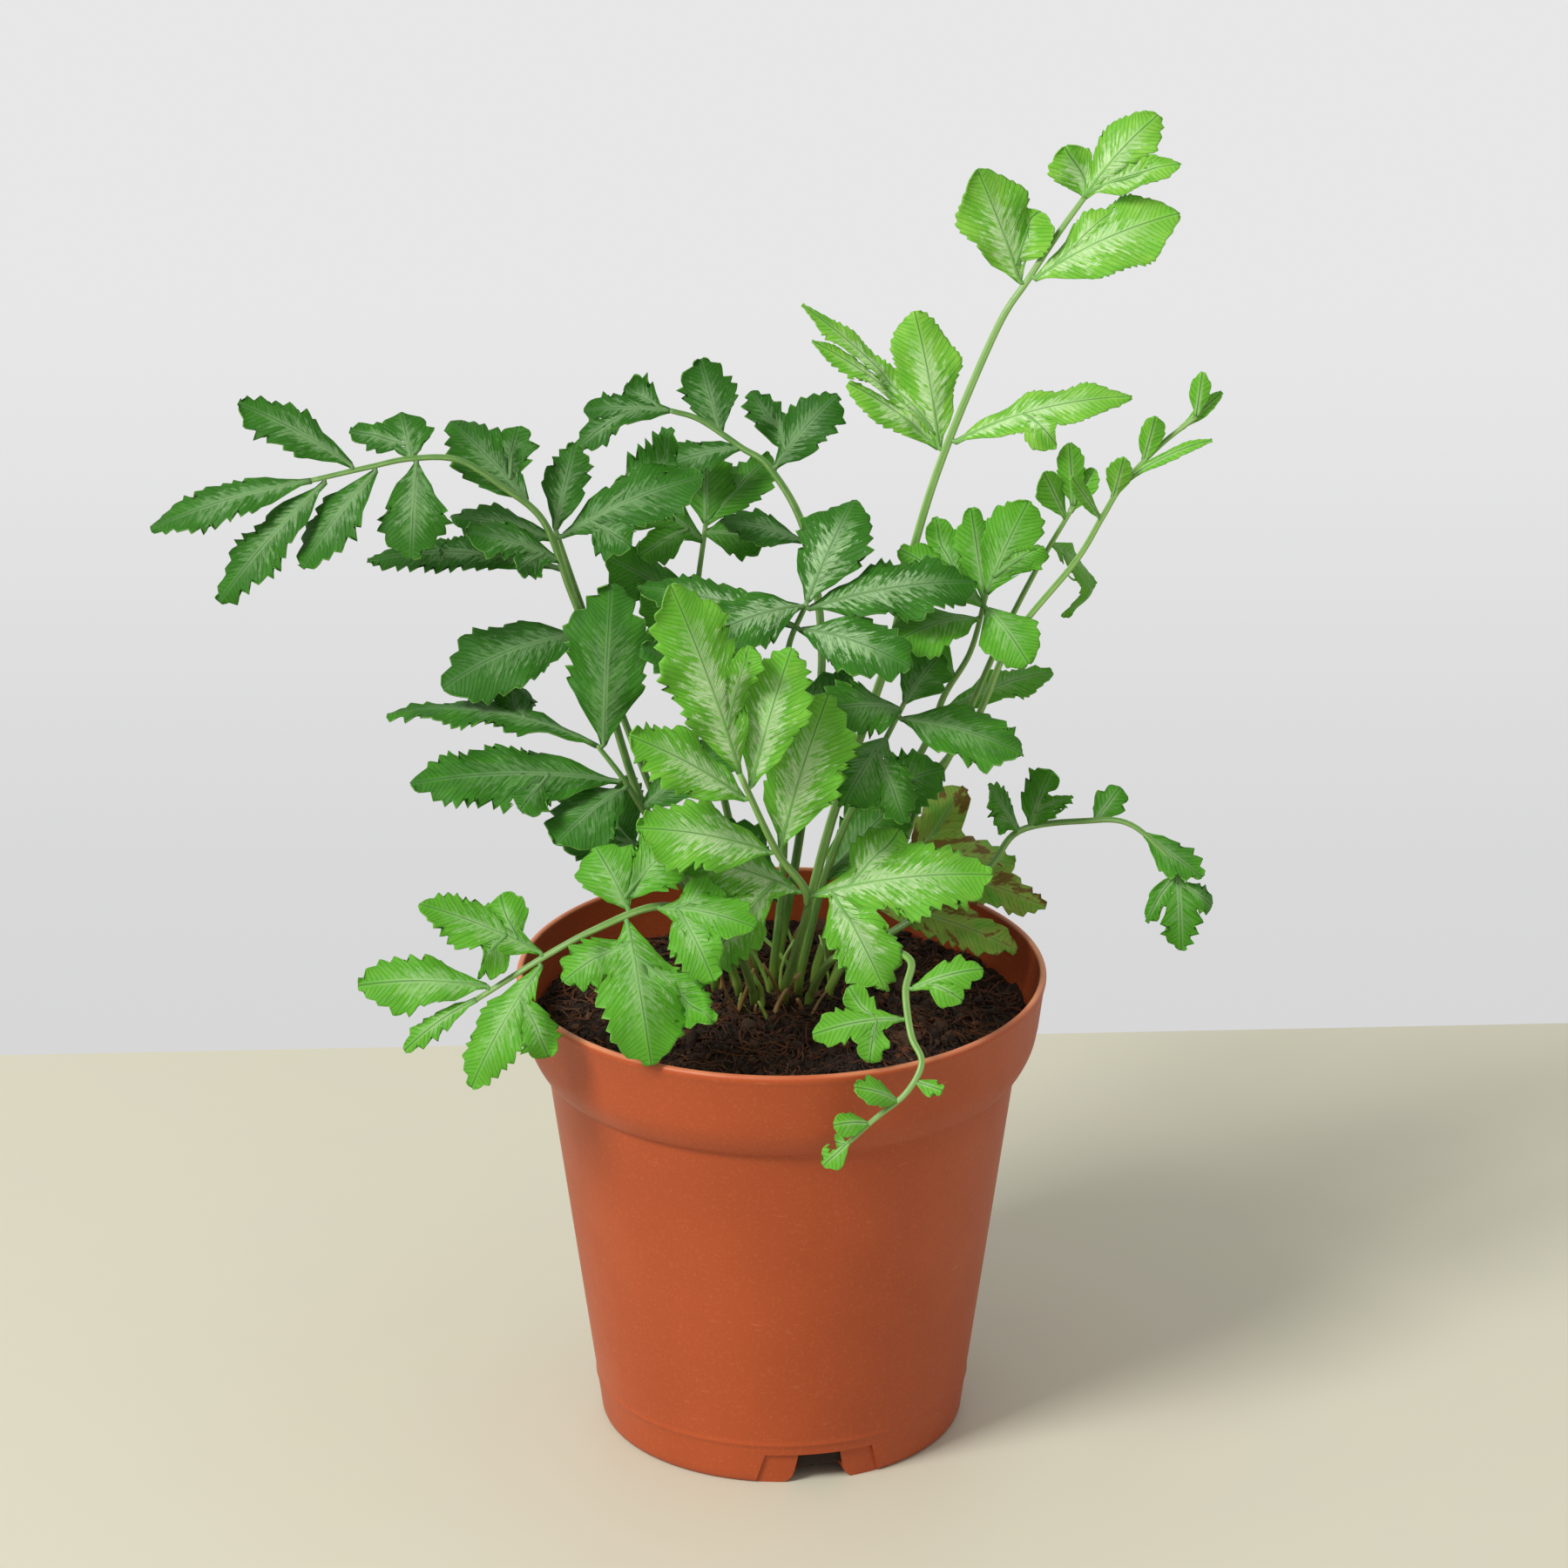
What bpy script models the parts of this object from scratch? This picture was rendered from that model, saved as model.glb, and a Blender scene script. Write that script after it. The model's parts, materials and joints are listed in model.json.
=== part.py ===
"""Potted slender brake fern: a plastic nursery pot, its soil, and fronds with separate leaflets."""
import math

import bmesh
import bpy
import numpy as np

MM = 0.001
OBJECT_NAME = "potted_fern"

# Colours of the four materials, linear red, green, blue
POT_COLOUR = (0.41, 0.085, 0.026)
SOIL_COLOUR = (0.045, 0.027, 0.016)
STEM_COLOUR = (0.19, 0.34, 0.06)
LEAF_COLOUR = (0.11, 0.29, 0.055)

# Pot, millimetres
POT_HEIGHT = 96.0
RIM_RADIUS = 52.5
LIP_ROUND = 0.8
LIP_CORNER = 0.2
WALL = 1.1
COLLAR_HEIGHT = 19.3
COLLAR_FOOT_RADIUS = 51.2
SHOULDER = POT_HEIGHT - COLLAR_HEIGHT
BODY_TOP_RADIUS = 46.6
FOOT_RADIUS = 36.2
POT_SIDES = 56

# Curve below the collar: (distance in from the collar's foot, rise above the shoulder), then the inside of it
COLLAR_CURVE = [(0.0, 9.0), (0.8, 5.5), (2.0, 2.8)]
COLLAR_CURVE_INSIDE = [(2.0, 3.4), (0.0, 9.0)]
# Where that curve meets the body: (distance out from the body's top, rise above the shoulder)
NECK_CURVE = [(1.1, 0.6), (0.2, 0.0), (0.0, -0.8)]
NECK_INSIDE_DROP = 0.4

# Raised line round the body, millimetres
LINE_HEIGHT = 9.0
LINE_RAISE = 0.15
LINE_HALF_WIDTH = 0.2
LINE_HALF_FOOT = 0.5

# Floor and the ring that the pot stands on, millimetres
FLOOR_TOP = 3.2
FOOT_BEVEL = 0.7
FOOT_BEVEL_HEIGHT = 1.0
RING_WIDTH = 1.9
RING_SLOPE = 0.6
RING_UNDERSIDE = 1.2
CENTRE_DISC_RADIUS = 10.0
CENTRE_DISC_SLOPE = 1.0

# Drainage slot at the foot and holes in the floor, millimetres and degrees
SLOT_ANGLE = 12.0
PANEL_TOP_WIDTH = 21.5
PANEL_FOOT_WIDTH = 26.0
PANEL_HEIGHT = 6.7
PANEL_DEPTH = 0.6
PANEL_STEPS = 13
# Half width of the notch at each height
NOTCH_OUTLINE = [(4.2, 6.5), (4.5, 5.0), (5.0, 2.6), (5.5, 1.3), (6.2, 0.5), (7.2, 0.0), (7.4, -1.0)]
NOTCH_REACH = 5.0
CUT_MARGIN = 4.0
CUT_BELOW = 0.5
DRAIN_RADIUS = 3.5
DRAIN_RING_RADIUS = 23.0
DRAIN_COUNT = 6
DRAIN_SIDES = 16

# Soil, millimetres
SOIL_TOP = 87.5
SOIL_CROWN_RADIUS = 23.0
SOIL_SLOPE_RADIUS = 35.0
SOIL_SLOPE_HEIGHT = 86.5
SOIL_EDGE = 85.0
GAP = 0.3

# Leaflets and stems, millimetres
BLADE_THICKNESS = 0.5
BLADE_SPANS = 5
STALK_HALF_WIDTH = 0.6
TIP_HALF_WIDTH = 0.5
FOLD = 0.16
BASE_POWER = 1.1
TIP_POWER = 0.72
WIDEST = BASE_POWER / (BASE_POWER + TIP_POWER)
LOBE_SPANS = 3
STEM_STEPS = 2
WELD_DISTANCE = 0.02
BLADE_FACING = np.array([0.0, -0.6, 0.8])

# Each frond: name, stem radius, stem points, leaflets.
# A leaflet: name (None when it is one body with the stem), place along the stem counted in stem points,
# tip, width, roll in degrees, arch as a share of its length, lobes.
# A lobe: share of the leaflet's length where it leaves, tip, width.
FRONDS = [
    ("tall", 1.0,
     [(2, 12, 88.5), (10, 12, 123), (21, 13, 157), (26, 14, 180), (32, 17, 199), (42, 23, 222),
      (48, 26, 231), (54, 28, 240), (59, 29, 247)],
     [(None, 8, (73, 28, 264), 11, 0, 0.08, [(0.0, (55, 30, 257), 9), (0.05, (77, 22, 256), 8)]),
      ("lower_left", 4.0, (26, 25, 225), 13, 10, 0.06,
       [(0.1, (4, 23, 227), 6), (0.1, (6, 19, 221), 6), (0.0, (13, 17, 213), 8)]),
      ("lower_right", 4.1, (68, 12, 212), 10, 0, 0.1, [(0.42, (54, 9, 202), 8)]),
      ("upper_left", 5.9, (38, 28, 253), 15, 0, 0.05, [(0.15, (52, 25, 245), 9)]),
      ("upper_right", 6.1, (77, 22, 246), 15, 0, 0.08,
       [(0.15, (64, 26, 246), 8)])]),
    ("bud_long", 0.85,
     [(10, 10, 88.5), (15, 8, 101), (23, 7, 117), (29, 6, 133), (38, 4, 147), (45, 2, 165),
      (57, 0, 182), (62, 0, 191), (66, 0, 198), (73, 0, 206), (80, 0, 212)],
     [(None, 10, (81, 0, 221), 4, 0, 0.0, []),
      (None, 9.6, (85, 3, 216), 3, 0, 0.0, []),
      (None, 8.6, (72, -3, 213), 5, 0, 0.0, []),
      (None, 8.1, (83, -2, 208), 3, 0, 0.1, []),
      (None, 7.6, (66, -4, 205), 5, 20, 0.0, []),
      (None, 7, (56, -4, 201), 4, 0, 0.0, [])]),
    ("bud_short", 0.85,
     [(7, 15, 88.5), (17, 12, 109), (32, 10, 135), (37, 10, 147), (43, 10, 162), (50, 10, 177),
      (57, 10, 190)],
     [(None, 6, (56, 10, 203), 6, 0, 0.0, []),
      (None, 5.8, (51, 7, 198), 6, 0, 0.0, []),
      (None, 5.9, (61, 12, 197), 5, 0, 0.0, []),
      (None, 5.4, (62, 19, 170), 9, 0, 0.05, [(0.2, (56, 17, 164), 7)])]),
    ("young", 0.9,
     [(6, 11, 88.5), (14, 9, 114), (28, 10, 139), (32, 8, 151), (37, 6, 161), (40, 4, 174)],
     [(None, 5, (48, 2, 194), 12, 0, 0.05, [(0.2, (53, 4, 185), 9)]),
      (None, 4.9, (37, 9, 190), 8, 0, 0.0, []),
      (None, 4.8, (23, 10, 181), 10, 0, 0.08, [(0.25, (30, 12, 187), 7)]),
      (None, 3.4, (24, 9, 163), 11, 0, 0.06, []),
      ("low_left", 4.6, (22, -7, 168), 12, 10, 0.1, []),
      ("low", 4.8, (48, -8, 164), 12, 0, 0.1, []),
      ("right", 2.6, (54, 26, 149), 8, 0, 0.08, [])]),
    ("arching", 0.9,
     [(9, 5, 88.5), (14, 4, 97), (24, 5, 103), (40, 6, 114), (47, 6, 123), (60, 4, 126), (69, 2, 126),
      (78, -2, 119)],
     [(None, 7, (79, -5, 102), 8, 0, 0.1, [(0.2, (85, -1, 110), 6), (0.1, (72, -5, 108), 5)]),
      (None, 6.3, (83, -3, 117), 9, 0, 0.0, []),
      (None, 4, (41, 2, 134), 8, 0, 0.0, [(0.2, (42, 2, 128), 6)]),
      (None, 4.2, (53, 1, 138), 10, 0, 0.05, [(0.3, (58, 2, 133), 6)]),
      (None, 5.2, (67, 7, 132), 7, 0, 0.0, [])]),
    ("front", 1.1,
     [(0, 2, 88.5), (3, -10, 105), (5, -22, 121), (-1, -28, 133), (-8, -35, 152)],
     [(None, 4, (-21, -36, 191), 17, 0, 0.06, [(0.25, (-6, -32, 177), 10)]),
      ("low_right", 2, (41, -21, 125), 17, 0, 0.08,
       [(0.1, (20, -38, 108), 14), (0.2, (23, -14, 132), 11)]),
      ("low_left", 2.1, (-22, -25, 131), 14, 0, 0.08, [(0.2, (-15, -29, 108), 13)]),
      ("mid_left", 3, (-28, -31, 139), 16, 0, 0.08, []),
      ("mid_right", 3, (9, -22, 163), 17, 0, 0.08, []),
      ("upper_left", 3.7, (-29, -38, 161), 14, 0, 0.06, []),
      ("upper_right", 3.8, (2, -28, 175), 14, 0, 0.06, [])]),
    ("low_left", 1.0,
     [(-5, 1, 88.5), (-9, -14, 107), (-17, -24, 118), (-25, -30, 122), (-36, -34, 119), (-46, -36, 114),
      (-59, -38, 106)],
     [(None, 6, (-73, -40, 96), 5, 0, 0.1, []),
      ("inner_up", 3.4, (-36, -26, 133), 12, 0, 0.08, [(0.15, (-19, -26, 135), 12)]),
      ("inner_right", 2.9, (-5, -40, 122), 12, 0, 0.1,
       [(0.15, (-12, -34, 129), 9), (0.2, (-13, -43, 112), 11)]),
      ("inner_down", 3.5, (-25, -49, 97), 17, 0, 0.12,
       [(0.15, (-42, -43, 112), 11), (0.25, (-13, -47, 105), 10)]),
      ("outer_up", 5, (-70, -33, 124), 12, 0, 0.06, [(0.3, (-59, -36, 110), 9), (0.2, (-54, -31, 126), 8)]),
      ("outer_down", 5.1, (-60, -44, 90), 11, 0, 0.1, [(0.25, (-45, -43, 96), 9)]),
      ("end_left", 5.8, (-82, -36, 108), 11, 0, 0.08, [])]),
    ("hanging", 0.9,
     [(5, 1, 88.5), (10, -14, 104), (19, -25, 111), (25, -33, 112), (24, -39, 108), (25, -46, 102),
      (27, -50, 98), (24, -53, 93), (18, -54, 88), (13, -54, 83)],
     [(None, 9, (8, -54, 78), 5, 0, 0.0, [(0.1, (9, -55, 84), 4)]),
      (None, 7.3, (14, -57, 96), 7, 0, 0.1, []),
      (None, 8.2, (10, -57, 88), 5, 0, 0.1, []),
      (None, 6.6, (31, -54, 94), 4, 0, 0.0, []),
      ("right", 3.9, (39, -37, 112), 7, 0, 0.1, [(0.2, (35, -41, 107), 6)]),
      ("left", 4.6, (6, -48, 103), 7, 0, 0.1, [(0.3, (13, -43, 111), 6), (0.3, (17, -50, 98), 7)])]),
    ("spread", 0.9,
     [(-13, 9, 88.5), (-18, 4, 113), (-28, 0, 133), (-36, -1, 162), (-41, -2, 177), (-46, -4, 192),
      (-54, -6, 200), (-62, -8, 206), (-71, -10, 207), (-79, -12, 206), (-90, -14, 204)],
     [(None, 10, (-121, -16, 195), 10, 0, 0.06, []),
      (None, 8, (-73, -3, 214), 10, 0, 0.0, [(0.3, (-83, -5, 211), 6)]),
      (None, 4.4, (-61, -10, 192), 11, 0, 0.08, [(0.2, (-52, -12, 184), 8)]),
      ("end_down", 9.8, (-108, -19, 181), 10, 0, 0.06, []),
      ("outer_up", 9.3, (-104, -9, 218), 10, 0, 0.06, []),
      ("outer_down", 8.9, (-92, -19, 188), 11, 0, 0.06, []),
      ("middle_down", 7.9, (-71, -17, 189), 13, 0, 0.06, []),
      ("inner_up", 5.4, (-64, 3, 210), 14, 0, 0.06, [(0.25, (-51, 6, 208), 9)])]),
    ("upper_left", 0.9,
     [(-9, 13, 88.5), (-17, 9, 110), (-25, 6, 130), (-34, 5, 156), (-39, 5, 171), (-44, 5, 187)],
     [(None, 5, (-40, 10, 203), 9, 0, 0.05, []),
      ("right", 4.9, (-15, 8, 197), 14, 0, 0.08,
       [(0.25, (-21, 10, 206), 8), (0.2, (-29, 0, 185), 10)]),
      ("left", 4.9, (-64, 1, 191), 10, 0, 0.08, []),
      ("far_left", 4.5, (-81, 9, 179), 8, 0, 0.12, [(0.4, (-66, 14, 172), 7)]),
      ("low", 3.6, (-66, -6, 158), 15, 10, 0.12, [])]),
    ("back", 0.95,
     [(-1, 17, 88.5), (4, 19, 119), (8, 22, 152), (5, 24, 178), (-2, 28, 191), (-8, 30, 195),
      (-16, 32, 200), (-22, 32, 202)],
     [(None, 7, (-39, 32, 202), 9, 0, 0.06, [(0.1, (-31, 34, 209), 6), (0.35, (-41, 28, 195), 6)]),
      (None, 5.5, (-16, 37, 211), 11, 0, 0.0, []),
      (None, 5.0, (-24, 27, 192), 8, 0, 0.06, []),
      ("right", 4, (11, 30, 206), 11, 0, 0.08, [(0.2, (-6, 35, 205), 8)]),
      ("low", 3, (-12, 20, 183), 9, 0, 0.1, [])]),
    ("centre", 0.9,
     [(-2, 9, 88.5), (0, 2, 112), (1, -4, 140), (1, -8, 165), (5, -8, 177)],
     [(None, 4, (14, 8, 192), 15, 0, 0.06, []),
      (None, 3.5, (-28, -3, 178), 11, 0, 0.08, []),
      (None, 0.9, (-14, 3, 126), 13, 0, 0.06, []),
      (None, 2.2, (13, 2, 158), 12, 10, 0.06, []),
      ("right", 3.9, (38, 0, 178), 14, 0, 0.08, []),
      ("low_right", 3.5, (25, -20, 168), 14, 0, 0.1, []),
      ("left", 3.9, (-15, -18, 173), 13, 0, 0.1, []),
      ("low_left", 2.3, (-27, -17, 171), 15, 0, 0.06, [])]),
    ("mid_left", 0.85,
     [(-8, 6, 88.5), (-15, 0, 108), (-26, -5, 130), (-31, -8, 140), (-36, -8, 147)],
     [(None, 4, (-77, -4, 152), 11, 25, 0.1, [(0.35, (-54, 4, 156), 9)]),
      (None, 2.2, (-9, 4, 143), 13, 0, 0.06, []),
      ("up", 3.9, (-33, -4, 179), 17, 0, 0.06, []),
      ("low_left", 3, (-72, -18, 143), 14, 0, 0.08, [(0.35, (-51, -20, 137), 10)]),
      ("low", 2.8, (-44, -20, 131), 15, 0, 0.1, [])]),
    ("low_back", 0.85,
     [(-9, 18, 88.5), (-14, 17, 98), (-21, 15, 109), (-28, 12, 117)],
     [(None, 3, (-46, 12, 122), 14, 0, 0.08, [(0.1, (-41, 14, 108), 11), (0.1, (-34, 11, 133), 11)])]),
    ("mid_back", 0.9,
     [(-5, 16, 88.5), (-10, 18, 118), (-16, 22, 145), (-17, 26, 162), (-15, 30, 179)],
     [(None, 4, (-15, 38, 193), 12, 0, 0.06, []),
      (None, 4, (-2, 42, 189), 11, 0, 0.06, []),
      (None, 3.9, (-2, 27, 177), 11, 0, 0.06, []),
      (None, 3.8, (-33, 26, 189), 12, 0, 0.06, [(0.2, (-28, 22, 175), 9)]),
      (None, 3.0, (-35, 22, 175), 13, 0, 0.06, []),
      (None, 2.4, (-27, 20, 170), 12, 0, 0.06, []),
      (None, 2.0, (-6, 27, 165), 12, 0, 0.06, [])]),
    ("mid_right", 0.9,
     [(3, 7, 88.5), (9, -2, 118), (17, -6, 140), (24, -8, 156)],
     [(None, 3, (31, 2, 162), 11, 0, 0.06, []),
      (None, 2.9, (8, -20, 159), 13, 0, 0.08, []),
      (None, 1.7, (32, 2, 138), 13, 0, 0.06, []),
      (None, 0.9, (24, 4, 131), 13, 0, 0.06, []),
      ("right", 2.8, (47, -13, 147), 15, 0, 0.1, []),
      ("low", 2.5, (12, -22, 140), 15, 0, 0.1, [(0.25, (24, -19, 135), 10)])]),
    ("back_right", 0.9,
     [(12, 15, 88.5), (14, 17, 97), (19, 20, 105), (23, 24, 110)],
     [(None, 3, (47, 27, 107), 13, 0, 0.08, [(0.15, (37, 31, 122), 11)]),
      (None, 2.8, (53, 17, 102), 9, 0, 0.08, []),
      (None, 1.6, (47, 9, 96), 9, 0, 0.1, [])]),
]


def clear_scene():
    for obj in list(bpy.data.objects):
        bpy.data.objects.remove(obj, do_unlink=True)


def new_collection(name, hidden):
    collection = bpy.data.collections.new(name)
    collection.hide_render = hidden
    bpy.context.scene.collection.children.link(collection)
    return collection


def new_material(name, colour, roughness):
    material = bpy.data.materials.new(name)
    material.use_nodes = True
    shader = material.node_tree.nodes["Principled BSDF"]
    shader.inputs["Base Color"].default_value = (*colour, 1.0)
    shader.inputs["Roughness"].default_value = roughness
    material.diffuse_color = (*colour, 1.0)
    return material


def add_part(name, mesh, colour, roughness):
    """A visible part of the object with a material of its own."""
    obj = bpy.data.objects.new(name, mesh)
    PARTS.objects.link(obj)
    mesh.shade_smooth()
    mesh.materials.append(new_material(name, colour, roughness))
    return obj


def add_helper(name, mesh):
    """A shape that only a Boolean uses."""
    obj = bpy.data.objects.new(name, mesh)
    HELPERS.objects.link(obj)
    obj.hide_render = True
    obj.display_type = "WIRE"
    return obj


def mesh_of(name, bm):
    bmesh.ops.recalc_face_normals(bm, faces=bm.faces)
    mesh = bpy.data.meshes.new(name)
    bm.to_mesh(mesh)
    bm.free()
    return mesh


def boolean(obj, operation, other):
    modifier = obj.modifiers.new(other.name, "BOOLEAN")
    modifier.operation = operation
    modifier.solver = "EXACT"
    modifier.use_self = operation == "UNION"
    modifier.object = other


def profile_mesh(name, profile):
    """The half section of a turned shape, from its top centre down the outer side to its bottom centre."""
    mesh = bpy.data.meshes.new(name)
    points = [(radius * MM, 0.0, height * MM) for radius, height in profile]
    mesh.from_pydata(points, [(i, i + 1) for i in range(len(points) - 1)], [])
    return mesh


def add_screw(obj):
    screw = obj.modifiers.new("turn", "SCREW")
    screw.steps = POT_SIDES
    screw.render_steps = POT_SIDES
    screw.use_merge_vertices = True
    screw.merge_threshold = 0.00001
    screw.use_smooth_shade = True


def body_radius(height):
    """Outer radius of the tapered pot body."""
    return FOOT_RADIUS + (BODY_TOP_RADIUS - FOOT_RADIUS) * height / SHOULDER


def inner_profile(clearance):
    """Inside of the wall from the floor up to the lip, pulled in by a clearance."""
    inset = WALL + clearance
    floor = FLOOR_TOP + clearance
    profile = [(body_radius(floor) - inset, floor), (BODY_TOP_RADIUS - inset, SHOULDER - NECK_INSIDE_DROP)]
    profile += [(COLLAR_FOOT_RADIUS - inset - inward, SHOULDER + rise) for inward, rise in COLLAR_CURVE_INSIDE]
    return profile + [(RIM_RADIUS - inset, POT_HEIGHT - LIP_ROUND)]


def line_profile():
    """The raised line, from above it to below it."""
    raised = body_radius(LINE_HEIGHT) + LINE_RAISE
    above = LINE_HEIGHT + LINE_HALF_FOOT
    below = LINE_HEIGHT - LINE_HALF_FOOT
    return [
        (body_radius(above), above),
        (raised, LINE_HEIGHT + LINE_HALF_WIDTH),
        (raised, LINE_HEIGHT - LINE_HALF_WIDTH),
        (body_radius(below), below),
    ]


def foot_profile():
    """The ring that the pot stands on, the underside and the disc at its centre."""
    ring_outside = FOOT_RADIUS - FOOT_BEVEL
    ring_inside = ring_outside - RING_WIDTH
    return [
        (body_radius(FOOT_BEVEL_HEIGHT), FOOT_BEVEL_HEIGHT),
        (ring_outside, 0.0),
        (ring_inside, 0.0),
        (ring_inside - RING_SLOPE, RING_UNDERSIDE),
        (CENTRE_DISC_RADIUS + CENTRE_DISC_SLOPE, RING_UNDERSIDE),
        (CENTRE_DISC_RADIUS, 0.0),
        (0.0, 0.0),
    ]


def outer_profile():
    """Lip, collar, shoulder, tapered body with its raised line, foot and underside."""
    lip = [
        (RIM_RADIUS - WALL, POT_HEIGHT - LIP_CORNER),
        (RIM_RADIUS - LIP_ROUND, POT_HEIGHT),
        (RIM_RADIUS - LIP_CORNER, POT_HEIGHT - LIP_CORNER),
        (RIM_RADIUS, POT_HEIGHT - LIP_ROUND),
    ]
    collar = [(COLLAR_FOOT_RADIUS - inward, SHOULDER + rise) for inward, rise in COLLAR_CURVE]
    neck = [(BODY_TOP_RADIUS + outward, SHOULDER + rise) for outward, rise in NECK_CURVE]
    return lip + collar + neck + line_profile() + foot_profile()


def turned_about_pot(points_mm, degrees_from_front):
    """Points given as (radial distance, sideways, height) placed round the pot, front at -Y, right at +X."""
    angle = math.radians(degrees_from_front)
    out = np.array([math.sin(angle), -math.cos(angle), 0.0])
    right = np.array([math.cos(angle), math.sin(angle), 0.0])
    up = np.array([0.0, 0.0, 1.0])
    points = np.asarray(points_mm, float)
    return (points[:, :1] * out + points[:, 1:2] * right + points[:, 2:] * up) * MM


def prism_cutter(name, first_edge, second_edge, near, far):
    """Closes the strip between two edges, (degrees round the pot, height), into a solid from near to far."""
    bm = bmesh.new()
    sheets = []
    for radius in (near, far):
        rows = []
        for edge in (first_edge, second_edge):
            places = [turned_about_pot([(radius(height), 0.0, height)], degrees)[0] for degrees, height in edge]
            rows.append([bm.verts.new(place) for place in places])
        sheets.append(rows)
    last = len(first_edge) - 1
    for first_row, second_row in sheets:
        for index in range(last):
            bm.faces.new([first_row[index], first_row[index + 1], second_row[index + 1], second_row[index]])
    for near_row, far_row in zip(*sheets):
        for index in range(last):
            bm.faces.new([near_row[index], far_row[index], far_row[index + 1], near_row[index + 1]])
    for end in (0, last):
        bm.faces.new([sheets[0][0][end], sheets[0][1][end], sheets[1][1][end], sheets[1][0][end]])
    return add_helper(name, mesh_of(name, bm))


def slot_degrees(sideways):
    """Where round the pot a point lies that is so far to the side of the slot's middle."""
    return SLOT_ANGLE + math.degrees(sideways / FOOT_RADIUS)


def beyond_foot(height):
    return FOOT_RADIUS + CUT_MARGIN


def notch_cutter():
    """Opens the foot of the wall and the edge of the floor."""
    right = [(slot_degrees(half), height) for half, height in NOTCH_OUTLINE]
    left = [(slot_degrees(-half), height) for half, height in NOTCH_OUTLINE]
    return prism_cutter("notch_cutter", right, left, lambda height: FOOT_RADIUS - NOTCH_REACH, beyond_foot)


def panel_cutter():
    """Recesses the wall round the notch."""
    steps = np.linspace(-0.5, 0.5, PANEL_STEPS)
    top = [(slot_degrees(step * PANEL_TOP_WIDTH), PANEL_HEIGHT) for step in steps]
    foot = [(slot_degrees(step * PANEL_FOOT_WIDTH), -CUT_BELOW) for step in steps]
    return prism_cutter(
        "panel_cutter", top, foot, lambda height: body_radius(height) - PANEL_DEPTH, beyond_foot)


def drain_cutter(index):
    bm = bmesh.new()
    bmesh.ops.create_cone(
        bm, cap_ends=True, segments=DRAIN_SIDES, radius1=DRAIN_RADIUS * MM, radius2=DRAIN_RADIUS * MM,
        depth=4 * FLOOR_TOP * MM)
    degrees = SLOT_ANGLE + (index + 0.5) * 360.0 / DRAIN_COUNT
    place = turned_about_pot([(DRAIN_RING_RADIUS, 0.0, FLOOR_TOP)], degrees)[0]
    bmesh.ops.translate(bm, verts=bm.verts, vec=place)
    name = f"drain_cutter_{index}"
    return add_helper(name, mesh_of(name, bm))


def add_solidify(obj, thickness):
    solidify = obj.modifiers.new("thickness", "SOLIDIFY")
    solidify.thickness = thickness * MM
    solidify.offset = 0.0
    solidify.use_even_offset = True


def add_weld(obj):
    """Closes up the tiny triangles that unions leave."""
    weld = obj.modifiers.new("weld", "WELD")
    weld.merge_threshold = WELD_DISTANCE * MM


def build_pot():
    profile = [(0.0, FLOOR_TOP)] + inner_profile(0.0) + outer_profile()
    pot = add_part("pot", profile_mesh("pot", profile), POT_COLOUR, 0.5)
    add_screw(pot)
    boolean(pot, "DIFFERENCE", panel_cutter())
    boolean(pot, "DIFFERENCE", notch_cutter())
    for index in range(DRAIN_COUNT):
        boolean(pot, "DIFFERENCE", drain_cutter(index))


def build_soil():
    top = [
        (0.0, SOIL_TOP),
        (SOIL_CROWN_RADIUS, SOIL_TOP),
        (SOIL_SLOPE_RADIUS, SOIL_SLOPE_HEIGHT),
        (COLLAR_FOOT_RADIUS - WALL - GAP, SOIL_EDGE),
    ]
    sides = [point for point in inner_profile(GAP) if point[1] < SOIL_EDGE]
    profile = top + sides[::-1] + [(0.0, FLOOR_TOP + GAP)]
    soil = add_part("soil", profile_mesh("soil", profile), SOIL_COLOUR, 0.95)
    add_screw(soil)


def stem_places(points, places):
    """Points on the smooth curve through a stem's points, at places counted in points."""
    points = np.asarray(points, float)
    padded = np.vstack([2 * points[0] - points[1], points, 2 * points[-1] - points[-2]])
    found = []
    for place in places:
        start = min(int(place), len(points) - 2)
        share = place - start
        before, first, second, after = padded[start:start + 4]
        found.append(
            first
            + 0.5 * share * (second - before)
            + 0.5 * share**2 * (2 * before - 5 * first + 4 * second - after)
            + 0.5 * share**3 * (3 * first - before - 3 * second + after))
    return np.array(found)


def stem_radius(base_radius, place, count):
    """A stem thins steadily to its end."""
    return base_radius * (1.0 - 0.45 * place / (count - 1))


def stem_mesh(name, base_radius, points):
    """A closed tapering tube along the stem."""
    count = len(points)
    places = np.linspace(0, count - 1, (count - 1) * STEM_STEPS + 1)
    curve = bpy.data.curves.new(name, "CURVE")
    curve.dimensions = "3D"
    curve.bevel_depth = MM
    curve.bevel_resolution = 1
    curve.use_fill_caps = True
    spline = curve.splines.new("POLY")
    spline.points.add(len(places) - 1)
    for point, place, at in zip(spline.points, stem_places(points, places), places):
        point.co = (*(place * MM), 1.0)
        point.radius = stem_radius(base_radius, at, count)
    guide = add_helper(name + "_guide", curve)
    mesh = bpy.data.meshes.new_from_object(guide.evaluated_get(bpy.context.evaluated_depsgraph_get()))
    bpy.data.objects.remove(guide, do_unlink=True)
    bm = bmesh.new()
    bm.from_mesh(mesh)
    bmesh.ops.remove_doubles(bm, verts=bm.verts, dist=0.001 * MM)
    return mesh_of(name, bm)


def unit(vector):
    return vector / np.linalg.norm(vector)


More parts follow.
